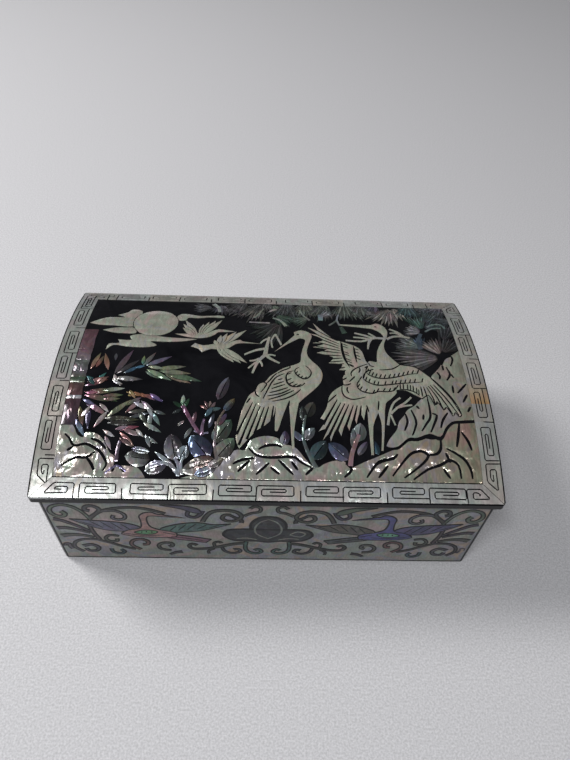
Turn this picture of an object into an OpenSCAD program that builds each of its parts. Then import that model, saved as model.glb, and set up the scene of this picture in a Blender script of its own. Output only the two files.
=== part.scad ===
// Lacquered jewelry box with a barrel-vaulted lid, mother-of-pearl picture on the lid,
// a fret border round it and pearl sides with dark abalone scrolls.
// Origin: middle of the underside. +Z up, front towards -Y, lid hinged along the back.

/* [Base] */
// Width of the base over its pearl sides
base_w = 177; // [150:1:220]
// Height from the table to the top of the walls
base_h = 52.4; // [44:0.5:70]
// Thickness of the four walls
wall_t = 6.5; // [6:0.25:8]
// Thickness of the bottom board
floor_t = 4; // [3:0.25:6]
// Thickness of the felt under the box
felt_t = 0.8; // [0.5:0.1:1.5]
// How far the felt stays inside the walls
felt_inset = 3; // [1:0.5:6]
// Rounding of the upright corners
corner_r = 1.5; // [0.5:0.1:2]

/* [Lid] */
// Width of the lid
lid_w = 180; // [160:1:230]
// Depth of the lid
lid_d = 112; // [100:1:130]
// Rise of the barrel vault above the rim
lid_rise = 11; // [8:0.5:14]
// Height of the upright rim of the lid
lid_rim_h = 2.6; // [2.4:0.1:5]
// Thickness of the bent top board
lid_board_t = 2; // [1.5:0.1:2.2]
// Depth of the front and back rails under the top board
lid_rail_w = 12; // [9:0.5:14]
// Thickness of the two end gables under the top board
lid_gable_t = 8; // [4:0.5:12]
// Overhang of the lid in front of the base
front_overhang = 1.5; // [0.5:0.1:3]
// Setback of the base at the hinged side
back_setback = 0.3; // [0.2:0.1:1]
// Gap between the closed lid and the walls
lid_gap = 0.2; // [0.1:0.05:0.4]

/* [Shell inlay] */
// Thickness of the pearl sheets on the sides of the base
veneer_t = 0.3; // [0.2:0.05:0.6]
// Lacquer line left round each pearl sheet
veneer_margin = 0.8; // [0.4:0.1:2]
// Thickness of the pearl and abalone pieces on the lid
inlay_t = 0.2; // [0.15:0.05:0.4]
// Thickness of the abalone scrolls on the pearl sheets
scroll_t = 0.12; // [0.1:0.02:0.2]
// Width of the fret border strips
border_w = 7.5; // [5:0.25:10]
// Lacquer line left outside the fret border
border_inset = 0.6; // [0.4:0.1:1.5]

/* [Inside] */
// Thickness of the velvet-covered lining boards on the walls
lining_t = 1; // [0.6:0.1:2]
// Thickness of the velvet pad on the floor
floor_pad_t = 1.5; // [1:0.25:4]
// Distance from the wall tops down to the lining's edge
lining_drop = 2; // [1:0.5:5]
// Thickness of the dividers
divider_t = 3; // [2:0.25:5]
// Height of the dividers above the floor pad
divider_h = 34; // [28:1:38]
// Place of the cross divider, from the middle
cross_divider_x = -22; // [-35:1:-10]
// Place of the long divider, from the middle
long_divider_y = 0; // [-12:1:12]
// Height of the ring rolls
ring_roll_h = 26; // [20:1:28]
// Slot left between two ring rolls
ring_slot = 0.6; // [0.4:0.1:2]
// Width of the mirror
mirror_w = 118; // [80:1:130]
// Depth of the mirror
mirror_d = 62; // [40:1:70]
// Thickness of the mirror
mirror_t = 2; // [1.5:0.1:2.2]
// Thickness of the backing board behind the mirror
backing_t = 1.2; // [1:0.1:1.5]
// Distance from the rim's underside up to the mirror
mirror_recess = 0.8; // [0.4:0.1:1.5]
// Clearance round the mirror and the velvet parts
soft_gap = 0.3; // [0.2:0.05:0.5]

/* [Hinges] */
// Distance from the end of the lid to the middle of a hinge
hinge_from_end = 35; // [25:1:45]
// Width of a hinge
hinge_w = 18; // [14:1:24]
// Distance of the hinge axis inside the back of the lid
hinge_inset = 1.8; // [1.7:0.05:2.5]
// Radius of the hinge barrel
barrel_r = 1.5; // [1.3:0.05:1.6]
// Radius of the hinge pin
pin_r = 0.6; // [0.5:0.05:0.7]
// Running clearance of the lid's knuckle on the pin
pin_gap = 0.06; // [0.03:0.01:0.09]
// Clearance between knuckles and round the barrel
knuckle_gap = 0.25; // [0.2:0.05:0.35]
// Thickness of a hinge leaf
leaf_t = 0.9; // [0.7:0.05:1.2]
// Depth of a hinge leaf in front of the axis
leaf_d = 4.4; // [4.2:0.1:4.6]
// Angle at which the bevelled back edges would meet
stop_angle = 97; // [92:1:110]
// Distance between the two screws of a leaf
screw_pitch = 11; // [9:0.5:13]
// Radius of a screw's shank
screw_r = 0.7; // [0.5:0.05:0.8]
// Radius of a screw's head
screw_head_r = 1.1; // [0.9:0.05:1.2]
// Length of a screw into the back wall
base_screw_l = 6; // [4:0.5:8]
// Length of a screw into the lid
lid_screw_l = 3; // [2.5:0.1:3.2]

/* [Hidden] */
$fn = 96;
EPS = 0.01;

lid_z = base_h + lid_gap;
rim_top_z = lid_z + lid_rim_h;
vault_r = (pow(lid_d / 2, 2) + pow(lid_rise, 2)) / (2 * lid_rise);
vault_z = rim_top_z + lid_rise - vault_r;
top_z = rim_top_z + lid_rise;
half_arc = vault_r * asin(lid_d / 2 / vault_r) * PI / 180;

front_y = -lid_d / 2 + front_overhang;
back_y = lid_d / 2 - back_setback;
carcass_x = base_w / 2 - veneer_t;
carcass_front = front_y + veneer_t;
carcass_back = back_y - veneer_t;
room_x = carcass_x - wall_t;
room_front = carcass_front + wall_t;
room_back = carcass_back - wall_t;
floor_z = felt_t + floor_t;
pad_z = floor_z + floor_pad_t;
lining_top = base_h - lining_drop;

hinge_x = lid_w / 2 - hinge_from_end;
axis_y = lid_d / 2 - hinge_inset;
axis_z = base_h + lid_gap / 2;
half_stop = stop_angle / 2;
bevel_l = hinge_inset + 2;
knuckle_l = (hinge_w - 2 * knuckle_gap) / 3;
screw_y = axis_y - (leaf_d + barrel_r + knuckle_gap) / 2;
head_h = screw_head_r - screw_r;
back_bevel_drop = (carcass_back - axis_y + veneer_t) * tan(half_stop);
veneer_bottom = felt_t + veneer_margin;
veneer_top = base_h - veneer_margin;
back_veneer_top = base_h - back_bevel_drop - veneer_margin;

inner_vault_r = vault_r - lid_board_t;
lid_room_x = lid_w / 2 - lid_gable_t;
lid_room_y = lid_d / 2 - lid_rail_w;
mirror_z = lid_z + mirror_recess;
backing_z = mirror_z + mirror_t;

field_x = lid_w / 2 - border_inset - border_w;
field_v = half_arc - border_inset - border_w;
// The picture was laid out on a field of this half width and half length along the vault.
PICTURE_X = 81.9;
PICTURE_V = 49.3;
picture_k = min(field_x / PICTURE_X, field_v / PICTURE_V);
// The scrolls were laid out on a front of this half width and height.
SCROLL_X = 88.5;
SCROLL_H = 52.4;
scroll_k = min(base_w / 2 / SCROLL_X, base_h / SCROLL_H);
SIDE_X = 55;
side_k = min((back_y - front_y) / 2 / SIDE_X, base_h / SCROLL_H);
back_k = back_veneer_top / SCROLL_H;

SHELL = [0.66, 0.68, 0.60];
ABALONE = [0.28, 0.36, 0.36];
LACQUER = [0.03, 0.03, 0.035];
VELVET = [0.35, 0.02, 0.05];
BRASS = [0.78, 0.62, 0.30];

// ---- outlines: a point is [x, y], or [x, y, 1] where the outline has a sharp corner ----

function flat(p) = [p[0], p[1]];
function sharp(p) = len(p) == 3;
function heading(a, b, c) = (flat(c) - flat(a)) / (norm(flat(c) - flat(b)) + norm(flat(b) - flat(a)));
function slope_at(p, i, closed) = let (n = len(p))
    sharp(p[i]) || (!closed && (i == 0 || i == n - 1)) ? [0, 0]
    : heading(p[(i + n - 1) % n], p[i], p[(i + 1) % n]);
function curve_point(a, b, sa, sb, t) = let (l = norm(b - a))
    (2 * pow(t, 3) - 3 * t * t + 1) * a + (pow(t, 3) - 2 * t * t + t) * l * sa
    + (3 * t * t - 2 * pow(t, 3)) * b + (pow(t, 3) - t * t) * l * sb;
function smooth(p, steps = 3) = let (n = len(p)) [
    for (i = [0:n - 1])
        let (j = (i + 1) % n, s = sharp(p[i]) && sharp(p[j]) ? 1 : steps)
            for (k = [0:s - 1])
                curve_point(flat(p[i]), flat(p[j]), slope_at(p, i, true), slope_at(p, j, true), k / s)
];
function smooth_line(p, steps = 3) = let (n = len(p)) concat([
    for (i = [0:n - 2], k = [0:steps - 1])
        curve_point(flat(p[i]), flat(p[i + 1]), slope_at(p, i, false), slope_at(p, i + 1, false), k / steps)
], [flat(p[n - 1])]);

// A band along a line, from one width to another.
function across(p, i) = let (
        a = p[max(i - 1, 0)],
        b = p[min(i + 1, len(p) - 1)],
        d = (b - a) / norm(b - a)
    ) [-d[1], d[0]];
function band_of(p, w0, w1) = let (n = len(p)) concat(
    [for (i = [0:n - 1]) p[i] + across(p, i) * (w0 + (w1 - w0) * i / (n - 1)) / 2],
    [for (i = [n - 1:-1:0]) p[i] - across(p, i) * (w0 + (w1 - w0) * i / (n - 1)) / 2]
);
function band(p, w0, w1) = band_of(smooth_line(p), w0, w1);

// A leaf from its stalk to its tip.
function leaf(a, b, w, steps = 6) = let (d = (b - a) / norm(b - a), q = [-d[1], d[0]]) concat(
    [for (i = [0:steps]) a + (b - a) * i / steps + q * w / 2 * sin(180 * i / steps)],
    [for (i = [steps - 1:-1:1]) a + (b - a) * i / steps - q * w / 2 * sin(180 * i / steps)]
);

// A fan of pine needles: a saw-edged sector.
function fan(c, r, from, to, needles) = concat([c], [
    for (i = [0:2 * needles])
        let (a = from + (to - from) * i / (2 * needles), l = i % 2 == 0 ? r : 0.78 * r)
            c + l * [cos(a), sin(a)]
]);

// A spiral tendril that starts at radius r and curls in.
function curl(c, r, from, turn, w0, w1) = band_of([
    for (i = [0:16])
        let (t = i / 16, a = from + turn * t)
            c + r * (1 - 0.72 * t) * [cos(a), sin(a)]
], w0, w1);

// ---- the picture on the lid: across the width, and along the vault from its crown ----

MOON = [for (i = [0:23]) [-51.8, 29] + 9.8 * [cos(15 * i), sin(15 * i)]];
CLOUDS = [
    [[-59, 37.5], [-60.5, 39.2], [-64, 39.4], [-65.5, 37], [-69.6, 34.4, 1], [-66, 32.6], [-73, 32.3],
        [-77, 30.4], [-80.7, 27.5, 1], [-76.4, 26.3], [-70, 26], [-61.2, 25.6], [-60, 31]],
    [[-74.1, 22.5, 1], [-68.8, 24.3], [-64.7, 24.6], [-60.5, 24.4], [-59.5, 20.8], [-64.7, 20.5],
        [-69.3, 20.9]],
    [[-70.3, 9.6, 1], [-69.8, 13.2], [-65.5, 13.9], [-66.4, 16.2, 1], [-60.5, 16], [-61.6, 18.6],
        [-57, 20], [-46, 18.4], [-38, 17.9], [-32.6, 17.6, 1], [-38.4, 16], [-46, 15.4], [-52.4, 15.4],
        [-49.4, 13], [-54, 11.6], [-62.2, 11.8], [-67.6, 12.6]],
    [[-43.2, 33.4], [-41.4, 36.5], [-38, 36.6], [-33.3, 35.4], [-28.3, 35.7], [-22.3, 36.1], [-21.7, 34.5],
        [-28.3, 34.6], [-33.3, 33.6], [-37.6, 33.8], [-38.8, 31.6], [-41.7, 31.2]]
];
FLYING_HIGH = [
    [[-42.4, 21, 1], [-37, 21.2], [-32.8, 22], [-29.5, 21.6], [-26.6, 23.4], [-23.6, 25], [-20, 24.4],
        [-16.4, 23.7, 1], [-20.5, 23.2], [-23.6, 23], [-25, 21.2], [-28.3, 19], [-33, 18.4], [-38, 19.4]],
    leaf([-32.6, 20], [-38.9, 31.5], 2.6), leaf([-33.4, 20], [-39.6, 28.4], 2.4),
    leaf([-34, 20], [-39.6, 25.6], 2.2), leaf([-31.6, 20.6], [-30.6, 28.6], 2.2),
    leaf([-31.2, 20.8], [-28.2, 30.5], 2.2), leaf([-30.8, 20.8], [-25.2, 31.8], 2.4),
    leaf([-30.4, 20.6], [-22.4, 32.3], 2.6)
];
FLYING_LOW = [
    [[-34.8, 12.8, 1], [-33.2, 15, 1], [-29.6, 13.6], [-25.4, 14.6], [-20.4, 15.6], [-16.6, 17],
        [-13.8, 17.8], [-12.6, 16.8], [-4.6, 15.6, 1], [-12.6, 15.8], [-15.8, 15], [-18.4, 12.4], [-22, 11.2],
        [-26, 11.6], [-29.8, 9.4, 1], [-31.4, 11.4]],
    leaf([-21.4, 14.4], [-11.3, 24.9], 2.6), leaf([-22, 14.4], [-15.6, 23.6], 2.4),
    leaf([-22.6, 14.4], [-19.6, 22.3], 2.2), leaf([-23.2, 14.2], [-22.3, 20.8], 2.2),
    leaf([-23.6, 14], [-25, 17.2], 2), leaf([-24, 13], [-16, 3.8], 3), leaf([-22.8, 13], [-13, 3.4], 3),
    leaf([-21.4, 12.6], [-10.4, 3.6], 2.6)
];
STANDING_CRANE = [
    [[12.8, 25.8], [9.8, 24.2, 1], [9.9, 21.8], [1, 10.5, 1], [11.8, 19.8], [14.4, 19.4], [14.5, 17.2],
        [13.5, 13.4], [12.6, 9], [12.2, 5.2], [10.8, 3.8], [7.5, 2.3], [4.6, 0.9], [2.2, -1], [-0.6, -3.4],
        [-2.6, -6.3], [-5.2, -7.8], [-6.6, -11.1], [-8.8, -13], [-10.5, -16.9], [-12.4, -23.6], [-13.6, -33],
        [-12.2, -36.8, 1], [-8.3, -32.2], [-5.7, -29.1, 1], [-2.8, -27.2, 1], [0.6, -23.6], [1.8, -18.3],
        [1.5, -28.9], [2.6, -29.1], [4.6, -22.6], [7, -15.9, 1], [7.5, -22], [7.9, -30], [8.3, -36.4, 1],
        [9.2, -36.4, 1], [9.1, -29.4], [9.9, -23.1], [11.1, -16.4, 1], [13.8, -13.5], [17.6, -9.7],
        [20.2, -6.3], [21.2, -3], [21, -0.1], [19.5, 2.8], [17.1, 5.7], [15.4, 8.6], [15.2, 11.9],
        [15.9, 15.3], [17.1, 19.1], [17.6, 22], [16.4, 24.4]]
];
SPREAD_CRANE = [
    [[18.7, 31.8, 1], [22.6, 25.8], [25.6, 21.9], [28.2, 19.4], [30.9, 18.2], [33.8, 16.9], [37.1, 15],
        [39, 12.4], [39.7, 9], [40.7, 5.4], [44, 4], [46, -6], [38, -14], [30.6, -9], [29.7, -3.2, 1],
        [31, 0.4], [28.4, 0.9, 1], [30, 4], [24.2, 4.7, 1], [26.4, 8.2], [19.4, 10.7, 1], [24, 13],
        [18, 14.3, 1], [23, 16.6], [17.9, 17, 1], [23, 19.4], [16, 23.9, 1], [21.6, 22.2, 1], [16.2, 28.2, 1],
        [21, 25.2, 1]],
    [[45, 31.4], [47.6, 32.8], [50.6, 31], [52, 27], [51.3, 22.5], [49.6, 18.2], [49.1, 14.8],
        [49.8, 11.4], [51.8, 8.1], [54.4, 4.8, 1], [50, -8], [40, -8], [41, 5], [41.9, 6.4], [44.8, 5.9],
        [45.2, 8.6], [45.8, 12.4], [47.2, 16.2], [49.1, 20.1], [49.8, 22.5], [48.9, 25.4], [46.9, 27.4],
        [44.8, 28.6], [30.9, 30.6, 1], [30.9, 31.4, 1]],
    [[46, 2], [54.4, 4.4], [56.8, 4.1], [60.2, 3.5], [62.8, 1.8], [66.6, -2.2], [69.6, -5.9], [73, -10.8],
        [75.6, -15.9], [76.8, -20.4], [76, -21, 1], [74.6, -19], [73.6, -20.9, 1], [71.4, -16.6],
        [70.2, -18.2, 1], [67.8, -14], [66.8, -16.2, 1], [64.8, -11], [61.8, -12.9, 1], [58.5, -10.9],
        [55.5, -9.2], [51.7, -9], [51.5, -10.6], [49.1, -13.3], [46.5, -15.9], [45.3, -25.5], [44, -36.6, 1],
        [43.2, -36.6, 1], [44.1, -25.5], [43.1, -20.2, 1], [40.6, -26.5], [40.2, -38.4, 1], [39.2, -38.4, 1],
        [38.8, -27], [38.6, -17.8], [37.1, -23.6, 1], [35.6, -20.4], [34, -25.4, 1], [33, -22.6],
        [31, -28.4, 1], [29.6, -25.4], [27.7, -30.8, 1], [26, -27.6], [23.5, -33.2, 1], [22.8, -30],
        [20.4, -32.9, 1], [21.6, -28], [18.8, -29, 1], [21.4, -24.4], [19.7, -23.3, 1], [22.2, -18.6],
        [23, -15.4], [23.8, -12.6], [26, -9.8], [30, -7]]
];
TWIGS = [
    band([[-1.1, 20.4], [-1.9, 15.4], [-2.3, 12.6], [-2.9, 8.2]], 1, 2),
    band([[-0.9, 19.6], [-3.2, 18.2], [-4.9, 15.9]], 1.2, 0.7),
    band([[-2.4, 12.6], [-6.8, 11.4], [-11.6, 8.6]], 1.5, 0.8),
    band([[-2.8, 8.6], [-5.8, 4.6], [-8, -2]], 1.8, 0.8),
    band([[-5.4, 5], [-7.4, 3.4], [-9.8, 0.7]], 1.1, 0.7),
    band([[-5.2, 6.4], [-7.4, 5.2], [-9.4, 4.9]], 1.1, 0.7), band([[-5, 5], [-4.2, 3.4], [-4, 1.8]], 1, 0.6),
    band([[-2.8, 9], [-0.4, 6.4], [3.4, 4]], 1.6, 0.8), band([[-1.8, 8.6], [0, 8.8], [1.6, 8.2]], 1, 0.7),
    band([[1.5, 22.6], [3, 18.4], [4.6, 14]], 0.9, 0.9),
    band([[1.5, 22.4], [-0.2, 18], [0.3, 13.2]], 0.9, 0.7),
    band([[49.9, 21.3], [46.6, 21.6], [44.3, 21], [39.6, 19], [32.6, 19.4]], 1.5, 0.9),
    band([[45, 21.4], [41.6, 23.2], [37, 24.9]], 1.4, 0.9),
    band([[43.6, 20.6], [40, 21.4], [36.2, 21.8]], 1.2, 0.8),
    band([[46.4, 21.6], [45, 23.4], [43.2, 25]], 1.1, 0.7),
    band([[43.9, 20.6], [42.7, 18], [41.9, 13.8]], 1.6, 0.6),
    band([[51.2, 21], [54, 22.8], [57.4, 23.2], [61.6, 22.2]], 1.3, 1.2),
    band([[58.6, 23.4], [56.4, 26.4], [53.2, 28.6]], 1.6, 0.8),
    band([[57.4, 24.6], [55.4, 25.6], [53, 25.4]], 1.1, 0.7),
    band([[46.6, -25.7], [48, -19.4], [50, -15.2], [52.8, -12.9]], 1, 0.8),
    band([[48.3, -20.4], [51.4, -17.4], [54.6, -15.2], [57.3, -12.5]], 1, 0.8),
    band([[50.6, -17.8], [54, -16.8], [57.3, -16.3]], 0.9, 0.7), band([[48.1, -21], [49.6, -25.7]], 0.8, 0.6)
];
STANDING_ROCK = [
    [[45.3, -34.6, 1], [46.6, -32], [50, -27.6], [51.2, -24], [53.4, -21.4], [55, -18.8], [58.2, -16.6],
        [60, -14.6], [62.2, -12.6], [68, -6], [67, -2.2], [69.6, 1.2], [71.3, 3.3], [73, 5.9], [75.1, 9.3],
        [78.1, 11], [81.8, 14, 1], [81.8, -22.6, 1], [76, -23], [72.6, -23.6], [69.6, -26.4], [67.2, -30.2],
        [63, -29], [58, -30.8], [54.4, -31], [50, -34.6], [47, -35.2]]
];
SHORE_ROCKS = [
    [[-81.8, -28.3, 1], [-78.5, -28], [-76.7, -28.7], [-74.6, -32.4], [-72.3, -33.4], [-71.6, -31.3],
        [-67, -32], [-63.6, -35.4], [-61.6, -39.3], [-59.4, -40.8], [-58.6, -44], [-55, -44.4], [-50, -45.4],
        [-47.3, -48.9, 1], [-81.8, -48.9, 1]],
    [[-34, -48.9, 1], [-29, -47.2], [-24, -44.5], [-20, -42.4], [-17, -39.5], [-13, -37.3], [-10, -37.4],
        [-8, -33.5], [-4, -31.7], [0, -31.5], [3, -32.5], [4.3, -34.5], [8.5, -35.4], [10.6, -37], [13, -40],
        [16.2, -43.4], [18.5, -43.8], [20.5, -42.5], [24, -41.2], [28, -41], [31, -43.6], [33.4, -42.8],
        [36, -41.5], [40, -39.8], [44, -38], [47.6, -36.4], [50.4, -35.8], [54, -32.6], [58, -32.4],
        [63, -30.8], [67.4, -32], [70.4, -27.4], [73, -24.8], [76.4, -24.4], [81.8, -24, 1], [81.8, -48.9, 1]]
];
PLANTS = [
    leaf([-35.2, -43.6], [-39.4, -31.2], 7.4), leaf([-34.6, -44], [-32.6, -36.2], 5),
    leaf([-22.6, -41.4], [-29.8, -31.8], 8.6), leaf([-20.6, -41.8], [-34, -45.8], 6.2),
    leaf([-21.6, -34], [-16, -24.6], 6), leaf([-21, -41], [-14.4, -32.6], 6.4),
    leaf([-21.5, -15.8], [-17.8, -4.4], 4.2), leaf([-18.8, -21], [-14.8, -15], 3),
    band([[-22, -30], [-20.8, -25], [-18.6, -20.4]], 1, 0.8), leaf([-47.4, -48], [-38.6, -42.4], 5),
    leaf([-47.6, -43], [-55, -38.4], 6), leaf([-36.2, -45], [-43.8, -38.4], 2.2),
    band([[-35, -48], [-35, -44], [-36.8, -41]], 1.6, 1),
    band([[-22, -41], [-22, -34], [-21.6, -28]], 1.4, 0.9), leaf([-23.4, -20.6], [-28.6, -18.6], 1.4),
    leaf([-23.6, -20.9], [-27, -16.4], 1.4), leaf([-24, -21], [-24.6, -16.4], 1.4),
    leaf([-24.4, -20.8], [-22.4, -16.8], 1.4), leaf([-24.9, -20.6], [-20, -19.6], 1.6),
    leaf([-23.5, -19.3], [-26, -23.6], 2), band([[-26.8, -31.6], [-27, -28], [-26.4, -24.6]], 1.6, 0.9),
    band([[-27.6, -31], [-30.6, -27], [-35.4, -18.6]], 1.2, 1.6), leaf([-35.4, -19.6], [-35.2, -14.2], 1.8),
    leaf([-35.4, -19.6], [-39, -17], 1.6), leaf([-30.6, -26.6], [-29.8, -22], 1.4),
    leaf([-31, -28.6], [-34, -32.8], 1.8), leaf([14, -23], [17, -15.8], 4.8),
    leaf([12.8, -24.4], [12.6, -17], 2), leaf([12.8, -32.6], [17.4, -28], 3.8),
    band([[17.6, -44], [14.8, -38.6], [12.6, -31.4], [13.8, -22]], 1.8, 0.8),
    leaf([12.4, -33], [8.6, -29], 2.4), leaf([16.2, -40.6], [21.4, -33.4], 5.6),
    leaf([30, -40.6], [22.6, -33.8], 6), leaf([34.6, -32], [35.6, -25.2], 4.6),
    leaf([32, -34.8], [32.6, -27.4], 2), band([[30.8, -43], [31.6, -38], [34.8, -30]], 2, 1.4),
    leaf([34, -38.6], [37.6, -33.6], 2.6), leaf([42, -38.4], [40.2, -32.4], 2.6),
    leaf([5.6, -34.4], [5.6, -28.6], 2.8)
];
// Bamboo: the two ends of each stalk section between rings, and each leaf from its stalk to its tip.
BAMBOO_SECTIONS = [[22.6, 10], [9.4, -2.6], [-3.2, -14.6], [-15.4, -28]];
BAMBOO_LEAVES = [
    [-74.6, -1.6, -72, 7.6], [-72.6, -0.8, -70.4, 6], [-67.4, -1.8, -70.2, 7.4], [-75.6, -5.4, -70.8, -8.6],
    [-71.6, -8.4, -67.8, -3.4], [-75.4, -10.4, -66.6, -7], [-74.8, -13.4, -60.8, -12],
    [-74.8, -14.8, -61.4, -17.4], [-74.6, -17.4, -64.2, -24], [-72, -20, -71.2, -30],
    [-75.6, -20, -73.2, -29.6], [-64.6, -4, -58.6, 9.8], [-64.6, -6, -52.4, -6.6], [-65, -6.4, -60.8, -10],
    [-60.8, -3.4, -54.8, 0.4], [-53.6, 0.6, -49, 8.6], [-53.8, 1.4, -53.6, 6.4], [-52.4, 0.8, -42, 6.4],
    [-51.4, 0.4, -36, 0.8], [-51.6, -0.6, -33, -7.6], [-51, -1.4, -42.6, -6.6], [-43, 0.4, -28.4, -7],
    [-51.8, -14, -43.2, -16.8], [-51.6, -14.4, -58.4, -13], [-52, -15.4, -58.6, -19.6],
    [-52.4, -16.8, -57.6, -22.6], [-52, -17, -46.6, -21.6], [-47.2, -22, -43.4, -28],
    [-47.6, -22.4, -47.6, -30], [-46.8, -21.4, -41.6, -23], [-48.6, -22.6, -56, -24.6],
    [-66, -25, -51.6, -25.6], [-60, -30, -51.4, -28.4], [-58, -29.6, -49.6, -32.4],
    [-58.6, -31, -52.6, -36.6], [-49.4, -32.4, -43.6, -35.4], [-48.6, -31.8, -46.4, -37]
];
function stalk_section(top, low) = [
    [-81.6, top], [-76.2, top], [-75.6, top - 0.6], [-76, (top + low) / 2], [-75.6, low + 0.6], [-76.2, low],
    [-81.6, low]
];
BAMBOO = concat(
    [for (s = BAMBOO_SECTIONS) stalk_section(s[0], s[1])],
    [for (l = BAMBOO_LEAVES) leaf([l[0], l[1]], [l[2], l[3]], 2.6, 5)]
);
PINE = [
    fan([73.6, 9.6], 21, 172, 214, 6), fan([73.6, 9.6], 13, 206, 236, 4), fan([66, 13.6], 10.4, 96, 166, 5),
    fan([74, 11], 11, 100, 150, 4), fan([67, 25.6], 13, 84, 160, 6), fan([72, 27], 9.6, 20, 120, 5),
    fan([79, 20], 10, 200, 262, 4), fan([56, 45], 14, 206, 282, 6), fan([40, 48], 13, 200, 300, 7),
    fan([25, 45], 12, 190, 300, 6), fan([8, 43], 17, 202, 286, 7), fan([5, 30], 12, 190, 262, 5),
    fan([-8, 46], 12, 196, 280, 5), fan([-25, 41.6], 7.4, 90, 262, 7), fan([70, 44], 13, 200, 300, 7),
    fan([81, 48], 13, 180, 266, 5)
];

// ---- scrolls on the sides of the base: across from the middle, and up from the table ----

SIDE_CRANE = [
    [[32.4, 36.9, 1], [44, 38.6], [49.8, 40.8], [52, 38], [50.5, 33], [52, 29.6], [58, 31], [66, 32.6],
        [78, 33.9, 1], [70, 29], [62, 26], [54, 23.5], [48, 20.5], [38, 19.5], [24, 18.2, 1], [30, 21.5],
        [36, 23.2], [30, 25], [22, 29], [15.6, 33.1, 1], [26, 33.4], [36, 31], [43, 28], [46.6, 29.6],
        [47.6, 33], [46.4, 36.2]]
];
FLOWER = [
    [[-6.4, 29], [-7, 35], [-4, 38.4], [0, 39.4], [4, 38.4], [7, 35], [6.4, 29]],
    [[-18, 23.6], [-16.6, 28], [-11, 28.8], [0, 29.4], [11, 28.8], [16.6, 28], [18, 23.6], [14, 19],
        [5, 19.6], [0, 18.6], [-5, 19.6], [-14, 19]]
];
SIDE_PETALS = [[73, 29, 87.4, 32.6], [73.4, 23, 87.4, 26], [74, 20.6, 87, 20]];
TENDRILS = concat([
    band([[34, 31], [28, 40], [22, 45.2], [14, 46.2], [9, 42.4], [9.4, 38.4]], 1.6, 1.4),
    curl([13, 39], 3.6, 190, 400, 1.4, 1.6),
    band([[72, 33], [70, 39.6], [64, 43.6], [54, 45.6], [46, 45.2], [39, 41.6]], 1.4, 1.6),
    curl([60, 37.4], 4.6, 70, 430, 1.3, 1.7), curl([69, 44], 3.2, -60, 380, 1.3, 1.7),
    curl([80, 39.6], 6.6, 190, -460, 1.3, 1.5), band([[72, 32], [73.4, 38], [73.6, 40]], 1.5, 1.3),
    curl([74.6, 8.6], 5, 100, 440, 1.6, 1.8), band([[74, 14.6], [80, 15.2], [86, 11.4], [87.2, 6.6]], 1.5, 1),
    curl([41.4, 12], 3.8, -70, 400, 1.4, 1.5), curl([51.4, 13.4], 4.4, 200, -400, 1.4, 1.5),
    curl([64, 14], 3, 250, 380, 1.3, 1.4),
    band([[66, 6.4], [58, 8.2], [46, 7.4], [34, 9.6], [24, 12.4], [10, 17.4]], 1.4, 1.8),
    curl([13.4, 8], 3.6, 120, -420, 1.4, 1.6), curl([4.2, 9.2], 3.2, 150, 400, 1.3, 1.5),
    band([[72, 33], [72.6, 24], [76, 15.2]], 1.3, 1.5), curl([29.8, 14.4], 2.6, 240, -380, 1.3, 1.4),
    curl([5.2, 44.6], 3, 180, 380, 1.2, 1.5)
], [for (l = SIDE_PETALS) leaf([l[0], l[1]], [l[2], l[3]], 3.2)]);
END_PETALS = [[32, 26, 50.6, 32], [32, 24.8, 51, 25], [32, 23.6, 50.6, 18]];
END_SCROLLS = concat([
    curl([27, 38], 6, 200, -440, 1.5, 1.7), curl([44, 38.4], 5.4, -20, 440, 1.4, 1.6),
    curl([27, 12.6], 5.4, 160, 440, 1.5, 1.7), curl([44, 12.6], 5.4, 20, -440, 1.4, 1.6),
    band([[14, 24], [22, 30], [31, 34], [38.6, 38.4]], 1.8, 1.4),
    band([[14, 22], [22, 18.6], [31, 16], [38.6, 12.6]], 1.8, 1.4), curl([8.4, 43], 4, -10, 420, 1.3, 1.5),
    curl([8.4, 8.6], 4, 10, -420, 1.3, 1.5)
], [for (l = END_PETALS) leaf([l[0], l[1]], [l[2], l[3]], 3.2)]);

function mirrored(shapes) = [for (s = shapes) [for (p = s) len(p) == 3 ? [-p[0], p[1], 1] : [-p[0], p[1]]]];
function scaled(shapes, k) = [for (s = shapes) [for (p = s) len(p) == 3 ? [k * p[0], k * p[1], 1] : k * p]];
function onto_vault(p) = [p[0], vault_r * sin(p[1] / vault_r * 180 / PI)];

// ---- building blocks ----

module slab(x0, x1, y0, y1, z0, z1) translate([x0, y0, z0]) cube([x1 - x0, y1 - y0, z1 - z0]);

module round_plan(x, y_low, y_high, r) {
    translate([-x, y_low + r]) square([2 * x, y_high - y_low - 2 * r]);
    translate([-x + r, y_low]) square([2 * (x - r), y_high - y_low]);
    for (cx = [-x + r, x - r], cy = [y_low + r, y_high - r]) translate([cx, cy]) circle(r);
}

module lid_prism() translate([0, 0, lid_z]) linear_extrude(lid_rim_h + lid_rise + inlay_t)
    round_plan(lid_w / 2, -lid_d / 2, lid_d / 2, corner_r);
module base_prism() translate([0, 0, felt_t]) linear_extrude(base_h - felt_t)
    round_plan(carcass_x, carcass_front, carcass_back, corner_r);
module vault(r) translate([0, 0, vault_z]) rotate([0, 90, 0])
    cylinder(r = r, h = lid_w + 2, center = true, $fn = 360);
module under_board() intersection() {
    lid_prism();
    vault(inner_vault_r);
}

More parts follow.
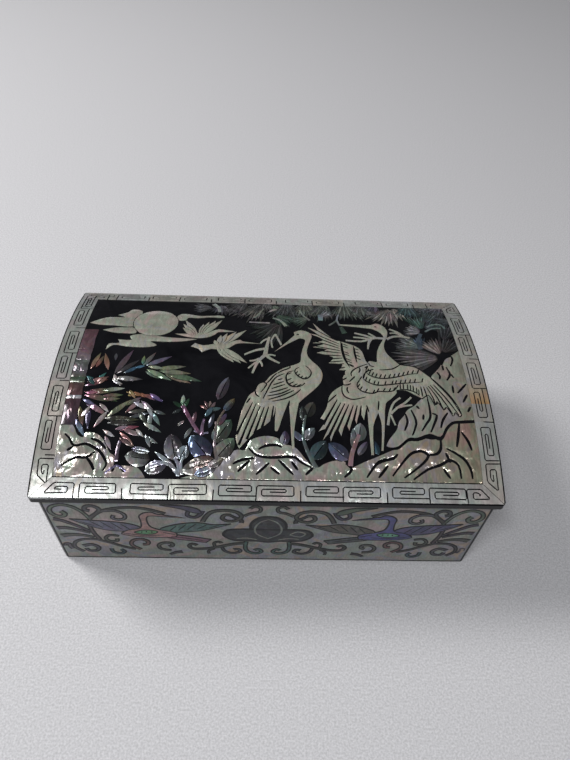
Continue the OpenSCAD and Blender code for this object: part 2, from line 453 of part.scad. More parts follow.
// Pieces of shell on the vault, cut back where the pieces in front of them lie.
module vault_outlines(outlines) for (s = outlines) polygon([for (p = s) onto_vault(p)]);
module on_vault(outlines, in_front = []) intersection() {
    difference() {
        vault(vault_r + inlay_t);
        vault(vault_r);
    }
    translate([0, 0, rim_top_z - 1]) linear_extrude(lid_rise + 2) difference() {
        vault_outlines(outlines);
        if (len(in_front) > 0) vault_outlines(in_front);
    }
}
function picture(outlines, steps = 3) = scaled([for (s = outlines) smooth(s, steps)], picture_k);
function picture_plain(outlines) = scaled(outlines, picture_k);

// Upright sheets of shell, drawn looking at the face from outside.
module on_front(y, t) translate([0, y, 0]) rotate([90, 0, 0]) linear_extrude(t) children();
module on_back(y, t) translate([0, y, 0]) rotate([90, 0, 180]) linear_extrude(t) children();
module on_left(x, t) translate([-x, (front_y + back_y) / 2, 0]) rotate([90, 0, -90])
    linear_extrude(t) children();
module on_right(x, t) translate([x, (front_y + back_y) / 2, 0]) rotate([90, 0, 90])
    linear_extrude(t) children();
module outlines_2d(outlines) for (s = outlines) polygon(s);
module sheet_2d(half, low, high) translate([-half, low]) square([2 * half, high - low]);

module front_scroll_2d(k) outlines_2d(scaled(concat(
    [for (s = concat(SIDE_CRANE, mirrored(SIDE_CRANE), FLOWER)) smooth(s)],
    TENDRILS, mirrored(TENDRILS)), k));
module end_scroll_2d(k) outlines_2d(scaled(concat(
    [for (s = FLOWER) smooth(s)], END_SCROLLS, mirrored(END_SCROLLS)), k));

// ---- hinges ----

module along_axis(x0, x1, r) translate([x0, axis_y, axis_z]) rotate([0, 90, 0]) cylinder(r = r, h = x1 - x0);
module at_hinges() for (x = [-hinge_x, hinge_x]) translate([x, 0, 0]) children();
module at_screws() for (x = [-screw_pitch / 2, screw_pitch / 2]) translate([x, screw_y, 0]) children();
function knuckle_edge(i) = -hinge_w / 2 + i * (knuckle_l + knuckle_gap);

module bevel(up) translate([-lid_w / 2 - 1, axis_y, axis_z]) rotate([90, 0, 90]) linear_extrude(lid_w + 2)
    polygon([[0, 0], [bevel_l, 0], [bevel_l, (up ? 1 : -1) * bevel_l * tan(half_stop)]]);

module hinge_pocket(z0, z1) {
    slab(-hinge_w / 2, hinge_w / 2, axis_y - leaf_d, axis_y, z0, z1);
    along_axis(-hinge_w / 2 - knuckle_gap, hinge_w / 2 + knuckle_gap, barrel_r + knuckle_gap);
}
module base_screw_shape(r_add = 0) {
    translate([0, 0, base_h - base_screw_l]) cylinder(r = screw_r + r_add, h = base_screw_l, $fn = 32);
    translate([0, 0, base_h - head_h]) cylinder(r1 = screw_r, r2 = screw_head_r, h = head_h, $fn = 32);
}
module lid_screw_shape() {
    translate([0, 0, lid_z]) cylinder(r = screw_r, h = lid_screw_l, $fn = 32);
    translate([0, 0, lid_z]) cylinder(r1 = screw_head_r, r2 = screw_r, h = head_h, $fn = 32);
}
module base_hinge_cut() {
    bevel(false);
    at_hinges() {
        hinge_pocket(base_h - leaf_t, base_h + EPS);
        at_screws() base_screw_shape();
    }
}
module lid_hinge_cut() {
    bevel(true);
    at_hinges() {
        hinge_pocket(lid_z - EPS, lid_z + leaf_t);
        at_screws() lid_screw_shape();
    }
}

module base_leaf(x) color(BRASS) translate([x, 0, 0]) difference() {
    union() {
        slab(-hinge_w / 2, hinge_w / 2, axis_y - leaf_d, axis_y, base_h - leaf_t, base_h);
        for (i = [0, 2]) along_axis(knuckle_edge(i), knuckle_edge(i) + knuckle_l, barrel_r);
    }
    along_axis(knuckle_edge(1) - knuckle_gap, knuckle_edge(2), barrel_r + knuckle_gap);
    along_axis(-hinge_w / 2 - 1, hinge_w / 2 + 1, pin_r);
    at_screws() base_screw_shape();
}
module lid_leaf(x) color(BRASS) translate([x, 0, 0]) difference() {
    union() {
        difference() {
            slab(-hinge_w / 2, hinge_w / 2, axis_y - leaf_d, axis_y, lid_z, lid_z + leaf_t);
            along_axis(-hinge_w / 2 - 1, knuckle_edge(1), barrel_r + knuckle_gap);
            along_axis(knuckle_edge(1) + knuckle_l, hinge_w / 2 + 1, barrel_r + knuckle_gap);
        }
        along_axis(knuckle_edge(1), knuckle_edge(1) + knuckle_l, barrel_r);
    }
    along_axis(-hinge_w / 2 - 1, hinge_w / 2 + 1, pin_r + pin_gap);
    at_screws() lid_screw_shape();
}
module hinge_pin(x) color(BRASS) translate([x, 0, 0]) along_axis(-hinge_w / 2, hinge_w / 2, pin_r);
module left_base_leaf() base_leaf(-hinge_x);
module right_base_leaf() base_leaf(hinge_x);
module left_lid_leaf() lid_leaf(-hinge_x);
module right_lid_leaf() lid_leaf(hinge_x);
module left_hinge_pin() hinge_pin(-hinge_x);
module right_hinge_pin() hinge_pin(hinge_x);
module base_hinge_screws() color(BRASS) at_hinges() at_screws() base_screw_shape();
module lid_hinge_screws() color(BRASS) at_hinges() at_screws() lid_screw_shape();

// ---- base ----

module base_bottom() color(LACQUER) slab(-room_x, room_x, room_front, room_back, felt_t, floor_z);
module front_wall() color(LACQUER) intersection() {
    base_prism();
    slab(-carcass_x, carcass_x, carcass_front, room_front, felt_t, base_h);
}
module back_wall() color(LACQUER) difference() {
    intersection() {
        base_prism();
        slab(-carcass_x, carcass_x, room_back, carcass_back, felt_t, base_h);
    }
    base_hinge_cut();
}
module left_wall() color(LACQUER) slab(-carcass_x, -room_x, room_front, room_back, felt_t, base_h);
module right_wall() color(LACQUER) slab(room_x, carcass_x, room_front, room_back, felt_t, base_h);
module base_felt() color("dimgray")
    slab(-carcass_x + felt_inset, carcass_x - felt_inset,
        carcass_front + felt_inset, carcass_back - felt_inset, 0, felt_t);

module front_veneer() color(SHELL) on_front(carcass_front, veneer_t)
    sheet_2d(carcass_x - corner_r, veneer_bottom, veneer_top);
module back_veneer() color(SHELL) on_back(carcass_back, veneer_t)
    sheet_2d(carcass_x - corner_r, veneer_bottom, back_veneer_top);
module left_veneer() color(SHELL) on_left(carcass_x, veneer_t)
    sheet_2d((back_y - front_y) / 2 - veneer_t - corner_r, veneer_bottom, veneer_top);
module right_veneer() color(SHELL) on_right(carcass_x, veneer_t)
    sheet_2d((back_y - front_y) / 2 - veneer_t - corner_r, veneer_bottom, veneer_top);
module front_scrolls() color(ABALONE) on_front(front_y, scroll_t) front_scroll_2d(scroll_k);
module back_scrolls() color(ABALONE) on_back(back_y, scroll_t) front_scroll_2d(min(back_k, scroll_k));
module left_scrolls() color(ABALONE) on_left(base_w / 2, scroll_t) end_scroll_2d(side_k);
module right_scrolls() color(ABALONE) on_right(base_w / 2, scroll_t) end_scroll_2d(side_k);

// ---- inside ----

module floor_pad() color(VELVET) slab(-room_x, room_x, room_front, room_back, floor_z, pad_z);
module front_lining() color(VELVET)
    slab(-room_x, room_x, room_front, room_front + lining_t, pad_z, lining_top);
module back_lining() color(VELVET)
    slab(-room_x, room_x, room_back - lining_t, room_back, pad_z, lining_top);
module left_lining() color(VELVET)
    slab(-room_x, -room_x + lining_t, room_front + lining_t, room_back - lining_t, pad_z, lining_top);
module right_lining() color(VELVET)
    slab(room_x - lining_t, room_x, room_front + lining_t, room_back - lining_t, pad_z, lining_top);
module cross_divider() color(VELVET)
    slab(cross_divider_x - divider_t / 2, cross_divider_x + divider_t / 2,
        room_front + lining_t, room_back - lining_t, pad_z, pad_z + divider_h);
module long_divider() color(VELVET)
    slab(cross_divider_x + divider_t / 2, room_x - lining_t,
        long_divider_y - divider_t / 2, long_divider_y + divider_t / 2, pad_z, pad_z + divider_h);

ROLLS = 5;
roll_x0 = -room_x + lining_t + soft_gap;
roll_x1 = cross_divider_x - divider_t / 2 - soft_gap;
roll_y0 = room_front + lining_t + soft_gap;
roll_y1 = room_back - lining_t - soft_gap;
roll_pitch = (roll_y1 - roll_y0 + ring_slot) / ROLLS;
roll_w = roll_pitch - ring_slot;
module ring_roll(i) color(VELVET) translate([roll_x0, roll_y0 + i * roll_pitch + roll_w / 2, pad_z]) {
    slab(0, roll_x1 - roll_x0, -roll_w / 2, roll_w / 2, 0, ring_roll_h - roll_w / 2);
    translate([0, 0, ring_roll_h - roll_w / 2]) rotate([0, 90, 0])
        cylinder(d = roll_w, h = roll_x1 - roll_x0);
}

// ---- lid ----

module lid_board() color(LACQUER) difference() {
    intersection() {
        lid_prism();
        vault(vault_r);
    }
    vault(inner_vault_r);
    lid_hinge_cut();
}
module lid_front_rail() color(LACQUER) intersection() {
    under_board();
    slab(-lid_w / 2, lid_w / 2, -lid_d / 2, -lid_room_y, lid_z, top_z);
}
module lid_back_rail() color(LACQUER) difference() {
    intersection() {
        under_board();
        slab(-lid_w / 2, lid_w / 2, lid_room_y, lid_d / 2, lid_z, top_z);
    }
    lid_hinge_cut();
}
module lid_gable(x0) color(LACQUER) intersection() {
    vault(inner_vault_r);
    slab(x0, x0 + lid_gable_t, -lid_room_y, lid_room_y, lid_z, top_z);
}
module lid_left_gable() lid_gable(-lid_w / 2);
module lid_right_gable() lid_gable(lid_w / 2 - lid_gable_t);

module gable_2d() intersection() {
    translate([0, vault_z]) circle(vault_r - veneer_margin, $fn = 360);
    sheet_2d(axis_y - veneer_margin, lid_z + veneer_margin, top_z);
}
module left_gable_veneer() color(SHELL) translate([-lid_w / 2, 0, 0]) rotate([90, 0, -90])
    linear_extrude(veneer_t) gable_2d();
module right_gable_veneer() color(SHELL) translate([lid_w / 2, 0, 0]) rotate([90, 0, 90])
    linear_extrude(veneer_t) gable_2d();

module lid_backing() color("dimgray")
    slab(-lid_room_x, lid_room_x, -lid_room_y, lid_room_y, backing_z, backing_z + backing_t);
module lid_velvet() color(VELVET) difference() {
    slab(-lid_room_x, lid_room_x, -lid_room_y, lid_room_y, mirror_z, backing_z);
    slab(-mirror_w / 2 - soft_gap, mirror_w / 2 + soft_gap, -mirror_d / 2 - soft_gap, mirror_d / 2 + soft_gap,
        mirror_z - 1, backing_z + 1);
}
module mirror() color("lightblue")
    slab(-mirror_w / 2, mirror_w / 2, -mirror_d / 2, mirror_d / 2, mirror_z, backing_z);

// ---- fret border and picture ----

outer_x = lid_w / 2 - border_inset;
outer_v = half_arc - border_inset;
module border_front() color(SHELL)
    on_vault([[[-outer_x, -outer_v], [outer_x, -outer_v], [field_x, -field_v], [-field_x, -field_v]]]);
module border_back() color(SHELL)
    on_vault([[[-field_x, field_v], [field_x, field_v], [outer_x, outer_v], [-outer_x, outer_v]]]);
module border_left() color(SHELL)
    on_vault([[[-outer_x, -outer_v], [-field_x, -field_v], [-field_x, field_v], [-outer_x, outer_v]]]);
module border_right() color(SHELL)
    on_vault([[[outer_x, -outer_v], [outer_x, outer_v], [field_x, field_v], [field_x, -field_v]]]);
standing_lines = picture(STANDING_CRANE);
spread_lines = picture(SPREAD_CRANE);
flying_lines = picture(concat(FLYING_HIGH, FLYING_LOW), 2);
sky_lines = concat(picture_plain([MOON]), picture(CLOUDS));
twig_lines = picture_plain(TWIGS);
plant_lines = picture_plain(PLANTS);
bamboo_lines = picture_plain(BAMBOO);
rock_lines = picture(STANDING_ROCK);
crane_lines = concat(standing_lines, spread_lines);
module standing_crane() color(SHELL) on_vault(standing_lines);
module spread_crane() color(SHELL) on_vault(spread_lines, standing_lines);
module flying_cranes() color(SHELL) on_vault(flying_lines);
module moon_and_clouds() color(SHELL) on_vault(sky_lines, flying_lines);
module crane_twigs() color(SHELL) on_vault(twig_lines, concat(crane_lines, flying_lines));
module shore_plants() color(ABALONE) on_vault(plant_lines, concat(crane_lines, twig_lines));
module bamboo() color(ABALONE) on_vault(bamboo_lines, concat(sky_lines, plant_lines));
module standing_rock() color(SHELL) on_vault(rock_lines, concat(crane_lines, twig_lines, plant_lines));
module shore_rocks() color(SHELL)
    on_vault(picture(SHORE_ROCKS), concat(crane_lines, twig_lines, plant_lines, bamboo_lines, rock_lines));
module pine_boughs() color(ABALONE)
    on_vault(picture_plain(PINE), concat(crane_lines, twig_lines, rock_lines, flying_lines, sky_lines));

base_bottom();
front_wall();
back_wall();
left_wall();
right_wall();
base_felt();
front_veneer();
back_veneer();
left_veneer();
right_veneer();
front_scrolls();
back_scrolls();
left_scrolls();
right_scrolls();
floor_pad();
front_lining();
back_lining();
left_lining();
right_lining();
cross_divider();
long_divider();
ring_roll(0);  // ring_roll_1
ring_roll(1);  // ring_roll_2
ring_roll(2);  // ring_roll_3
ring_roll(3);  // ring_roll_4
ring_roll(4);  // ring_roll_5
left_base_leaf();
right_base_leaf();
left_hinge_pin();
right_hinge_pin();
base_hinge_screws();
lid_board();
lid_front_rail();
lid_back_rail();
lid_left_gable();
lid_right_gable();
left_gable_veneer();
right_gable_veneer();
lid_backing();
lid_velvet();
mirror();
left_lid_leaf();
right_lid_leaf();
lid_hinge_screws();
border_front();
border_back();
border_left();
border_right();
moon_and_clouds();
flying_cranes();
standing_crane();
spread_crane();
crane_twigs();
pine_boughs();
bamboo();
standing_rock();
shore_rocks();
shore_plants();
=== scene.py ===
"""Looks of the lacquered jewelry box: shell inlay, lacquer, velvet, brass, the camera and the light."""
import math

import bpy
from mathutils import Matrix, Vector, noise
from mathutils.geometry import delaunay_2d_cdt


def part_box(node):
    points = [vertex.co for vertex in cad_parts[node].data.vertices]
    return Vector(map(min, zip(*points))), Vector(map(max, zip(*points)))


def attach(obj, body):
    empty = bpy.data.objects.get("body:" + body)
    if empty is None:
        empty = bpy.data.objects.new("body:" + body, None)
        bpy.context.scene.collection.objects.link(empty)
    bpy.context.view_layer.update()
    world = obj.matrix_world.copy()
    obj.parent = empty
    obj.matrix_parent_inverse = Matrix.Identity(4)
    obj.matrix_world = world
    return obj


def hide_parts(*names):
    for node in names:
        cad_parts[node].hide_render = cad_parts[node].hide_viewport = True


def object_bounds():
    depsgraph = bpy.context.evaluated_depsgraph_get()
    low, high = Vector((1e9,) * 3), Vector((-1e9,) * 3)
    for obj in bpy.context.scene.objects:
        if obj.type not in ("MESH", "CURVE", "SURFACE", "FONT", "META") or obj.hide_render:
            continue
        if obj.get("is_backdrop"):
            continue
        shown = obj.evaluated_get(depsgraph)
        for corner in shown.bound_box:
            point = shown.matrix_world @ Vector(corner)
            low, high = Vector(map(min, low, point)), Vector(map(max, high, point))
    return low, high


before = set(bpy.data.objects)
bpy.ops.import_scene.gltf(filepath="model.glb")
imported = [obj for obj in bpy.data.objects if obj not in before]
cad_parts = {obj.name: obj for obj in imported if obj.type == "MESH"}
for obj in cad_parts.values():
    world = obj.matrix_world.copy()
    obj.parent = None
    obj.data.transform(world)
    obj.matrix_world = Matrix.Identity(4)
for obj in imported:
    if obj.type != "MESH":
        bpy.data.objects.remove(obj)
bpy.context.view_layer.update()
MM = 0.001
CORNERS = ((-1, -1), (1, -1), (1, 1), (-1, 1))


def corners(node):
    """The lowest and the highest corner of a CAD node, in millimetres."""
    return [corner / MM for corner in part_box(node)]


# ---- the vault, from the frame ----

SHEET = 0.2
half_depth = corners("lid_board")[1].y
front_low, front_high = corners("border_front")
left_low, left_high = corners("border_left")

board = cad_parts["lid_board"].data.vertices
rim_top = max(v.co.z for v in board if v.co.y < -half_depth * MM + 1e-5) / MM
crown = left_high.z - SHEET
rise = crown - rim_top
vault_r = (half_depth ** 2 + rise ** 2) / (2 * rise)
vault_z = crown - vault_r
field_x = -left_high.x
outer_x = -left_low.x
field_v = vault_r * math.asin(-front_high.y / vault_r)
outer_v = vault_r * math.asin(-front_low.y / vault_r)
strip = outer_x - field_x


def on_vault(u, v, h):
    """A point of the lid: across its width, along the vault from its crown, and above the lacquer."""
    a = v / vault_r
    return Vector((u, (vault_r + h) * math.sin(a), vault_z + (vault_r + h) * math.cos(a))) * MM


def vault_normal(u, v):
    """The way straight out of the vault, which is the same all across its width."""
    return Vector((0, math.sin(v / vault_r), math.cos(v / vault_r)))


def drift(p):
    """A vector of noise at a point, the same in every run; noise.noise_vector starts differently in each."""
    return Vector([noise.noise(p + k * Vector((9.31, -1.53, 7.94))) for k in (1, 2, 3)])


# ---- outlines: a point is (x, y), or (x, y, 1) where the outline has a sharp corner ----

def flat(p):
    return Vector((p[0], p[1]))


def slope_at(points, i, closed):
    """The way of a curve at one of its points; none at a sharp corner or at an open end."""
    last = len(points) - 1
    if len(points[i]) == 3 or (not closed and i in (0, last)):
        return Vector((0, 0))
    a, b, c = [flat(points[j]) for j in (i - 1, i, 0 if i == last else i + 1)]
    return (c - a) / ((c - b).length + (b - a).length)


def curve_point(a, b, slope_a, slope_b, t):
    reach = (b - a).length
    return ((2 * t ** 3 - 3 * t * t + 1) * a + (t ** 3 - 2 * t * t + t) * reach * slope_a
            + (3 * t * t - 2 * t ** 3) * b + (t ** 3 - t * t) * reach * slope_b)


def smooth_line(points, steps=3, closed=False):
    """A curve through the points, with straight stretches between the sharp corners of a closed outline."""
    out = []
    for i in range(len(points) - (not closed)):
        j = (i + 1) % len(points)
        a, b = flat(points[i]), flat(points[j])
        slopes = slope_at(points, i, closed), slope_at(points, j, closed)
        straight = closed and len(points[i]) == len(points[j]) == 3
        out += [curve_point(a, b, *slopes, k / steps) for k in range(1 if straight else steps)]
    return out if closed else out + [flat(points[-1])]


def smooth(points, steps=3):
    return smooth_line(points, steps, True)


def band_of(line, width):
    """A band along a line; width is a number, or gives its width at 0 to 1 of the way."""
    left, right = [], []
    last = len(line) - 1
    for i, p in enumerate(line):
        along = (line[min(i + 1, last)] - line[max(i - 1, 0)]).normalized()
        half = Vector((-along.y, along.x)) * (width(i / last) if callable(width) else width) / 2
        left.append(p + half)
        right.append(p - half)
    return left + right[::-1]


def band(points, w0, w1):
    """A smooth band through the points, from one width to another."""
    return band_of(smooth_line(points), lambda t: w0 + (w1 - w0) * t)


def rim(points, width):
    """A band along a closed outline, in two halves so that neither meets itself."""
    middle = len(points) // 2
    return [band_of(half, width) for half in (points[:middle + 1], points[middle:] + points[:1])]


def stroke(points, width):
    """A graver's cut: full in the middle, thin at both ends."""
    def fullness(t):
        return 0.35 + 0.65 * math.sin(math.pi * (0.08 + 0.84 * t))

    return band_of(smooth_line(points), lambda t: width * fullness(t))


def leaf(a, b, width, steps=6, fullness=1.0):
    """A leaf from a to b, widest a little before its middle; a low fullness makes its ends rounder."""
    a, b = flat(a), flat(b)
    d = (b - a).normalized()
    q = Vector((-d.y, d.x)) * width / 2
    side = [(i / steps, math.sin(math.pi * (i / steps) ** 0.85) ** fullness) for i in range(1, steps)]
    return ([a] + [a + (b - a) * t + q * s for t, s in side]
            + [b] + [a + (b - a) * t - q * s for t, s in side[::-1]])


def on_circle(angle):
    return Vector((math.cos(angle), math.sin(angle)))


def disc(centre, r, sides=40):
    return [flat(centre) + r * on_circle(2 * math.pi * i / sides) for i in range(sides)]


# ---- colours, as they should read in plain light ----

def rgb(code):
    """A linear colour from its usual six-digit code."""
    parts = [int(code[i:i + 2], 16) / 255 for i in (0, 2, 4)]
    return tuple(c / 12.92 if c <= 0.04045 else ((c + 0.055) / 1.055) ** 2.4 for c in parts)


def dimmed(code, k):
    """The colour of a code with k of its light."""
    return tuple(k * c for c in rgb(code))


PEARL = rgb("a6a5a2")

# ---- the picture on the lid: layers of shell from back to front ----
# A layer is (piece, outline, colour at its start, colour at its end, start, end); piece None cuts a gap.

PICTURE_X = 81.9
PICTURE_V = 49.3
picture_k = min(field_x / PICTURE_X, field_v / PICTURE_V)


def layer(piece, outline, colour, end_colour=None, start=(0, 0), end=(0, 1)):
    return piece, outline, colour, end_colour or colour, flat(start), flat(end)


def shell(piece, outline, *look):
    """A layer of the picture, at the size of the field that the border leaves."""
    return layer(piece, [p * picture_k for p in outline], *look)


def gap(outline):
    return shell(None, outline, PEARL)


def bands(piece, lines):
    """A band of shell for each line, with its two widths and its colour."""
    return [shell(piece, band(line, w0, w1), rgb(colour)) for line, w0, w1, colour in lines]


GREY_GREEN = rgb("afada5")
CRANE_GREY = rgb("b1aea3")
ROCK_GREY = rgb("a8a6a0")
ROCK_BROWN = rgb("948a7a")
CLOUD_GREY = rgb("adaca3")

# Pine: centre, reach, first and last angle, needles, colour at the centre and at the tips.
PINE = [
    ((-27, 44), 9, 168, 214, 4, "77717f", "8f8a98"), ((-23, 47), 10, 236, 292, 5, "8c84a0", "5d596b"),
    ((-12, 51), 17, 222, 262, 6, "69626c", "55515b"), ((-4, 50), 18, 226, 262, 7, "6c646c", "a2988f"),
    ((-3, 51), 11, 250, 300, 6, "7e7880", "6a6668"), ((0.5, 48), 7.5, 270, 320, 4, "a3b8a2", "8fa796"),
    ((8, 52), 19, 240, 284, 8, "767a80", "565a60"), ((2, 38.5), 10.5, 282, 340, 6, "6f9a80", "4d7560"),
    ((17, 36), 9.5, 178, 232, 6, "8fa492", "5f7a6c"), ((4, 31.4), 15.5, 200, 262, 9, "74646e", "4d5c56"),
    ((16, 53), 18, 250, 292, 8, "9aa290", "7d8678"), ((26, 52), 18, 232, 268, 7, "8d938b", "6c746c"),
    ((22, 37.5), 7.5, 22, 62, 4, "a9c0c8", "e0e4e2"), ((35, 54), 19, 250, 292, 8, "6f756f", "9aa69a"),
    ((43, 51), 13, 240, 300, 6, "85868c", "8d968c"), ((50, 51), 9, 188, 262, 5, "746c8a", "5f5b74"),
    ((57, 48), 17, 222, 262, 7, "d2b6b8", "c9c0b4"), ((58, 49), 13, 262, 292, 3, "c0a4a6", "cfc6bc"),
    ((66, 52), 15, 232, 286, 8, "5f9aa0", "4a7078"), ((84, 36), 12, 150, 215, 6, "6a7080", "525c66"),
    ((68, 28), 12.5, 72, 112, 6, "4f8f80", "6ea695"), ((67.4, 26), 7.6, 118, 182, 5, "a394aa", "cfc6d0"),
    ((69, 29), 11, 10, 62, 6, "5d6e78", "5a6a74"), ((70, 33), 19, 48, 84, 8, "66788a", "5f7a78"),
    ((82, 52), 14, 200, 250, 7, "8088a0", "5a6670"), ((76, 20), 17, 50, 84, 7, "55565a", "63646a"),
    ((65.5, 15), 8, 78, 122, 4, "53709a", "5c7fa0"), ((66, 15), 11.5, 128, 178, 6, "8fa29c", "a9adab"),
    ((74, 12), 13, 30, 74, 7, "6a5f64", "5c5a5e"), ((74, 9.6), 21, 164, 206, 8, "a6989c", "a09a9c"),
    ((73.6, 11), 11, 92, 132, 5, "d2b2b0", "c2a8a6"),
]
# Single strokes of pine: line, widths, colour.
PINE_STROKES = [
    ([(-27.4, 47.4), (-24.8, 43.6), (-24.2, 39.6)], 2, 1.4, "b9c8b8"),
    ([(-10.2, 31.4), (-5.4, 31.2), (-0.8, 31)], 0.8, 1.1, "b8b2b2"),
    ([(-3.8, 44), (-5.6, 39.6), (-7.8, 35.2)], 0.7, 0.9, "a3ac9e"),
    ([(-1, 41.2), (0.4, 42.6), (2.2, 43.6)], 1, 1.2, "c9bcb8"),
    ([(0.4, 35.4), (3.8, 33.4), (6.4, 28.8)], 0.9, 1.5, "b4c2ae"),
    ([(13, 43.6), (14.4, 38.6), (17.4, 34.2)], 0.8, 1, "a3ab9c"),
    ([(22.4, 34.4), (22.6, 39.4)], 2, 2.6, "8fb0bc"),
    ([(31, 40), (29.9, 35), (30.8, 30.4)], 0.8, 0.9, "98a4aa"),
    ([(29.6, 34.4), (27.6, 32), (26, 30.4)], 1, 0.9, "7f8a86"),
    ([(31.2, 29.4), (32.6, 24.4)], 1.4, 2.6, "4f6a5a"), ([(44, 41.4), (48.4, 41)], 1, 0.7, "8a8484"),
    ([(69.6, 27.4), (73, 29.8), (77.2, 30.2)], 1, 0.8, "7f9a94"),
    ([(71, 31), (74, 33.2), (77.8, 33), (79, 30)], 1, 1, "7f9a94"),
    ([(65.4, 14.6), (65, 20), (67.2, 25.6)], 2.4, 1.6, "4a5c74"),
]
SHORE_ROCKS = [
    [(-81.8, -28.3, 1), (-78.5, -28), (-76.7, -28.7), (-74.6, -32.4), (-72.3, -33.4), (-71.6, -31.3),
     (-67, -32), (-63.6, -35.4), (-61.6, -39.3), (-59.4, -40.8), (-58.6, -44), (-55, -44.4), (-50, -45.4),
     (-47.3, -48.9, 1), (-81.8, -48.9, 1)],
    [(-34, -48.9, 1), (-29, -47.2), (-24, -44.5), (-20, -42.4), (-17, -39.5), (-13, -37.3), (-10, -37.4),
     (-8, -33.5), (-4, -31.7), (0, -31.5), (3, -32.5), (4.3, -34.5), (8.5, -35.4), (10.6, -37), (13, -40),
     (16.2, -43.4), (18.5, -43.8), (20.5, -42.5), (24, -41.2), (28, -41), (31, -43.6), (33.4, -42.8),
     (36, -41.5), (40, -39.8), (44, -38), (47.6, -36.4), (50.4, -35.8), (54, -32.6), (58, -32.4),
     (63, -30.8), (67.4, -32), (70.4, -27.4), (73, -24.8), (76.4, -24.4), (81.8, -24, 1), (81.8, -48.9, 1)],
]
STANDING_ROCK = [
    (45.3, -34.6, 1), (46.6, -32), (50, -27.6), (51.2, -24), (53.4, -21.4), (55, -18.8), (58.2, -16.6),
    (60, -14.6), (62.2, -12.6), (68, -6), (67, -2.2), (69.6, 1.2), (71.3, 3.3), (73, 5.9), (75.1, 9.3),
    (78.1, 11), (81.8, 14, 1), (81.8, -22.6, 1), (76, -23), (72.6, -23.6), (69.6, -26.4), (67.2, -30.2),
    (63, -29), (58, -30.8), (54.4, -31), (50, -34.6), (47, -35.2),
]
SHORE_CUTS = [
    [(-79.5, -32), (-77.5, -33.8), (-75.3, -36.8), (-71, -36), (-67, -37.8), (-65, -39.2), (-63, -42),
     (-62.2, -44), (-63.3, -46.5)],
    [(-75.5, -37.3), (-77.7, -38.8)], [(-69.3, -33.8), (-66, -35), (-63, -38)],
    [(-79, -44.8), (-74, -41.5), (-70, -41.4), (-67, -39)], [(-70, -41.4), (-67.8, -44), (-66.6, -46.5)],
    [(-58.8, -41.5), (-58.8, -44), (-59.8, -46.8)], [(-57.5, -44), (-55, -47)],
    [(-4.8, -37), (-2, -35.5), (2.5, -35.1), (4.4, -36)],
    [(-8.5, -36.5), (-5.5, -39.3), (0, -40.2), (9, -39.8), (12, -42), (16.5, -44.3)],
    [(16.5, -43.8), (13.5, -46.8)], [(-14.5, -43), (-11, -41.3), (-6, -40.5)],
    [(-12.5, -46), (-8, -41.5)], [(-5.5, -47), (-0.5, -42.3)], [(0, -44), (3.5, -46.7)],
    [(3, -41), (8.8, -46.8)], [(8, -41.5), (10.5, -45)], [(28.3, -47.5), (31.3, -44.3), (29, -42)],
    [(37, -47.5), (41, -42), (44, -40.3), (48, -40)], [(41.5, -47.5), (45.5, -42.5)],
    [(45.5, -35.8), (50, -35.2), (55, -31.5), (58, -31.5), (63, -29.8), (67, -30.8), (70, -26.5), (73, -24),
     (76, -23.8), (81.5, -23.3)],
    [(75.5, -24), (74.3, -30), (73.2, -34.5)], [(75.8, -28), (78, -32), (79, -35.8)],
    [(67, -31), (66.8, -35), (65, -37.5), (61, -38)],
    [(69, -35.2), (73, -37.5), (76, -40), (77.8, -44), (78, -47.3)],
    [(40, -43), (43, -41), (48, -39.5), (49.5, -37.8)],
    [(47, -46.7), (51.5, -41), (55, -37.5), (59, -36.5), (61.5, -38.5), (58, -42.5), (51.5, -47.3)],
    [(55, -48), (61, -43.8), (66, -42), (70, -40), (73, -42), (73.6, -47.3)], [(67, -43.5), (69.5, -47.3)],
    [(68.5, -37), (70, -41)],
]
STANDING_CUTS = [
    [(54, -20.3), (54.6, -24), (53, -28)], [(56.5, -18.5), (57.8, -22), (58, -25), (56, -30)],
    [(59, -16.5), (60, -18)], [(64, -13), (64.3, -18), (64, -22), (62, -25), (60, -28)],
    [(61, -23), (61.5, -20.5)], [(65, -20), (66.8, -20.8), (65.2, -25), (63.5, -28.5)],
    [(71.5, -19.5), (69, -23), (67.8, -26.5)], [(75.5, -6), (75.3, -10)], [(77, -10), (81.5, -5)],
    [(78.5, -14.5), (81, -10.5)], [(79.8, -19), (81.3, -16.5)],
    [(72.8, 5), (74.8, 9), (77.8, 10.5), (78, 8), (76.5, 4.5)], [(70, 1), (71, -1), (70.5, -3)],
    [(73, 5), (73, 2)], [(74.5, 4), (75.5, 0), (73.5, -3.5)], [(76, 0), (76.8, -2)],
]
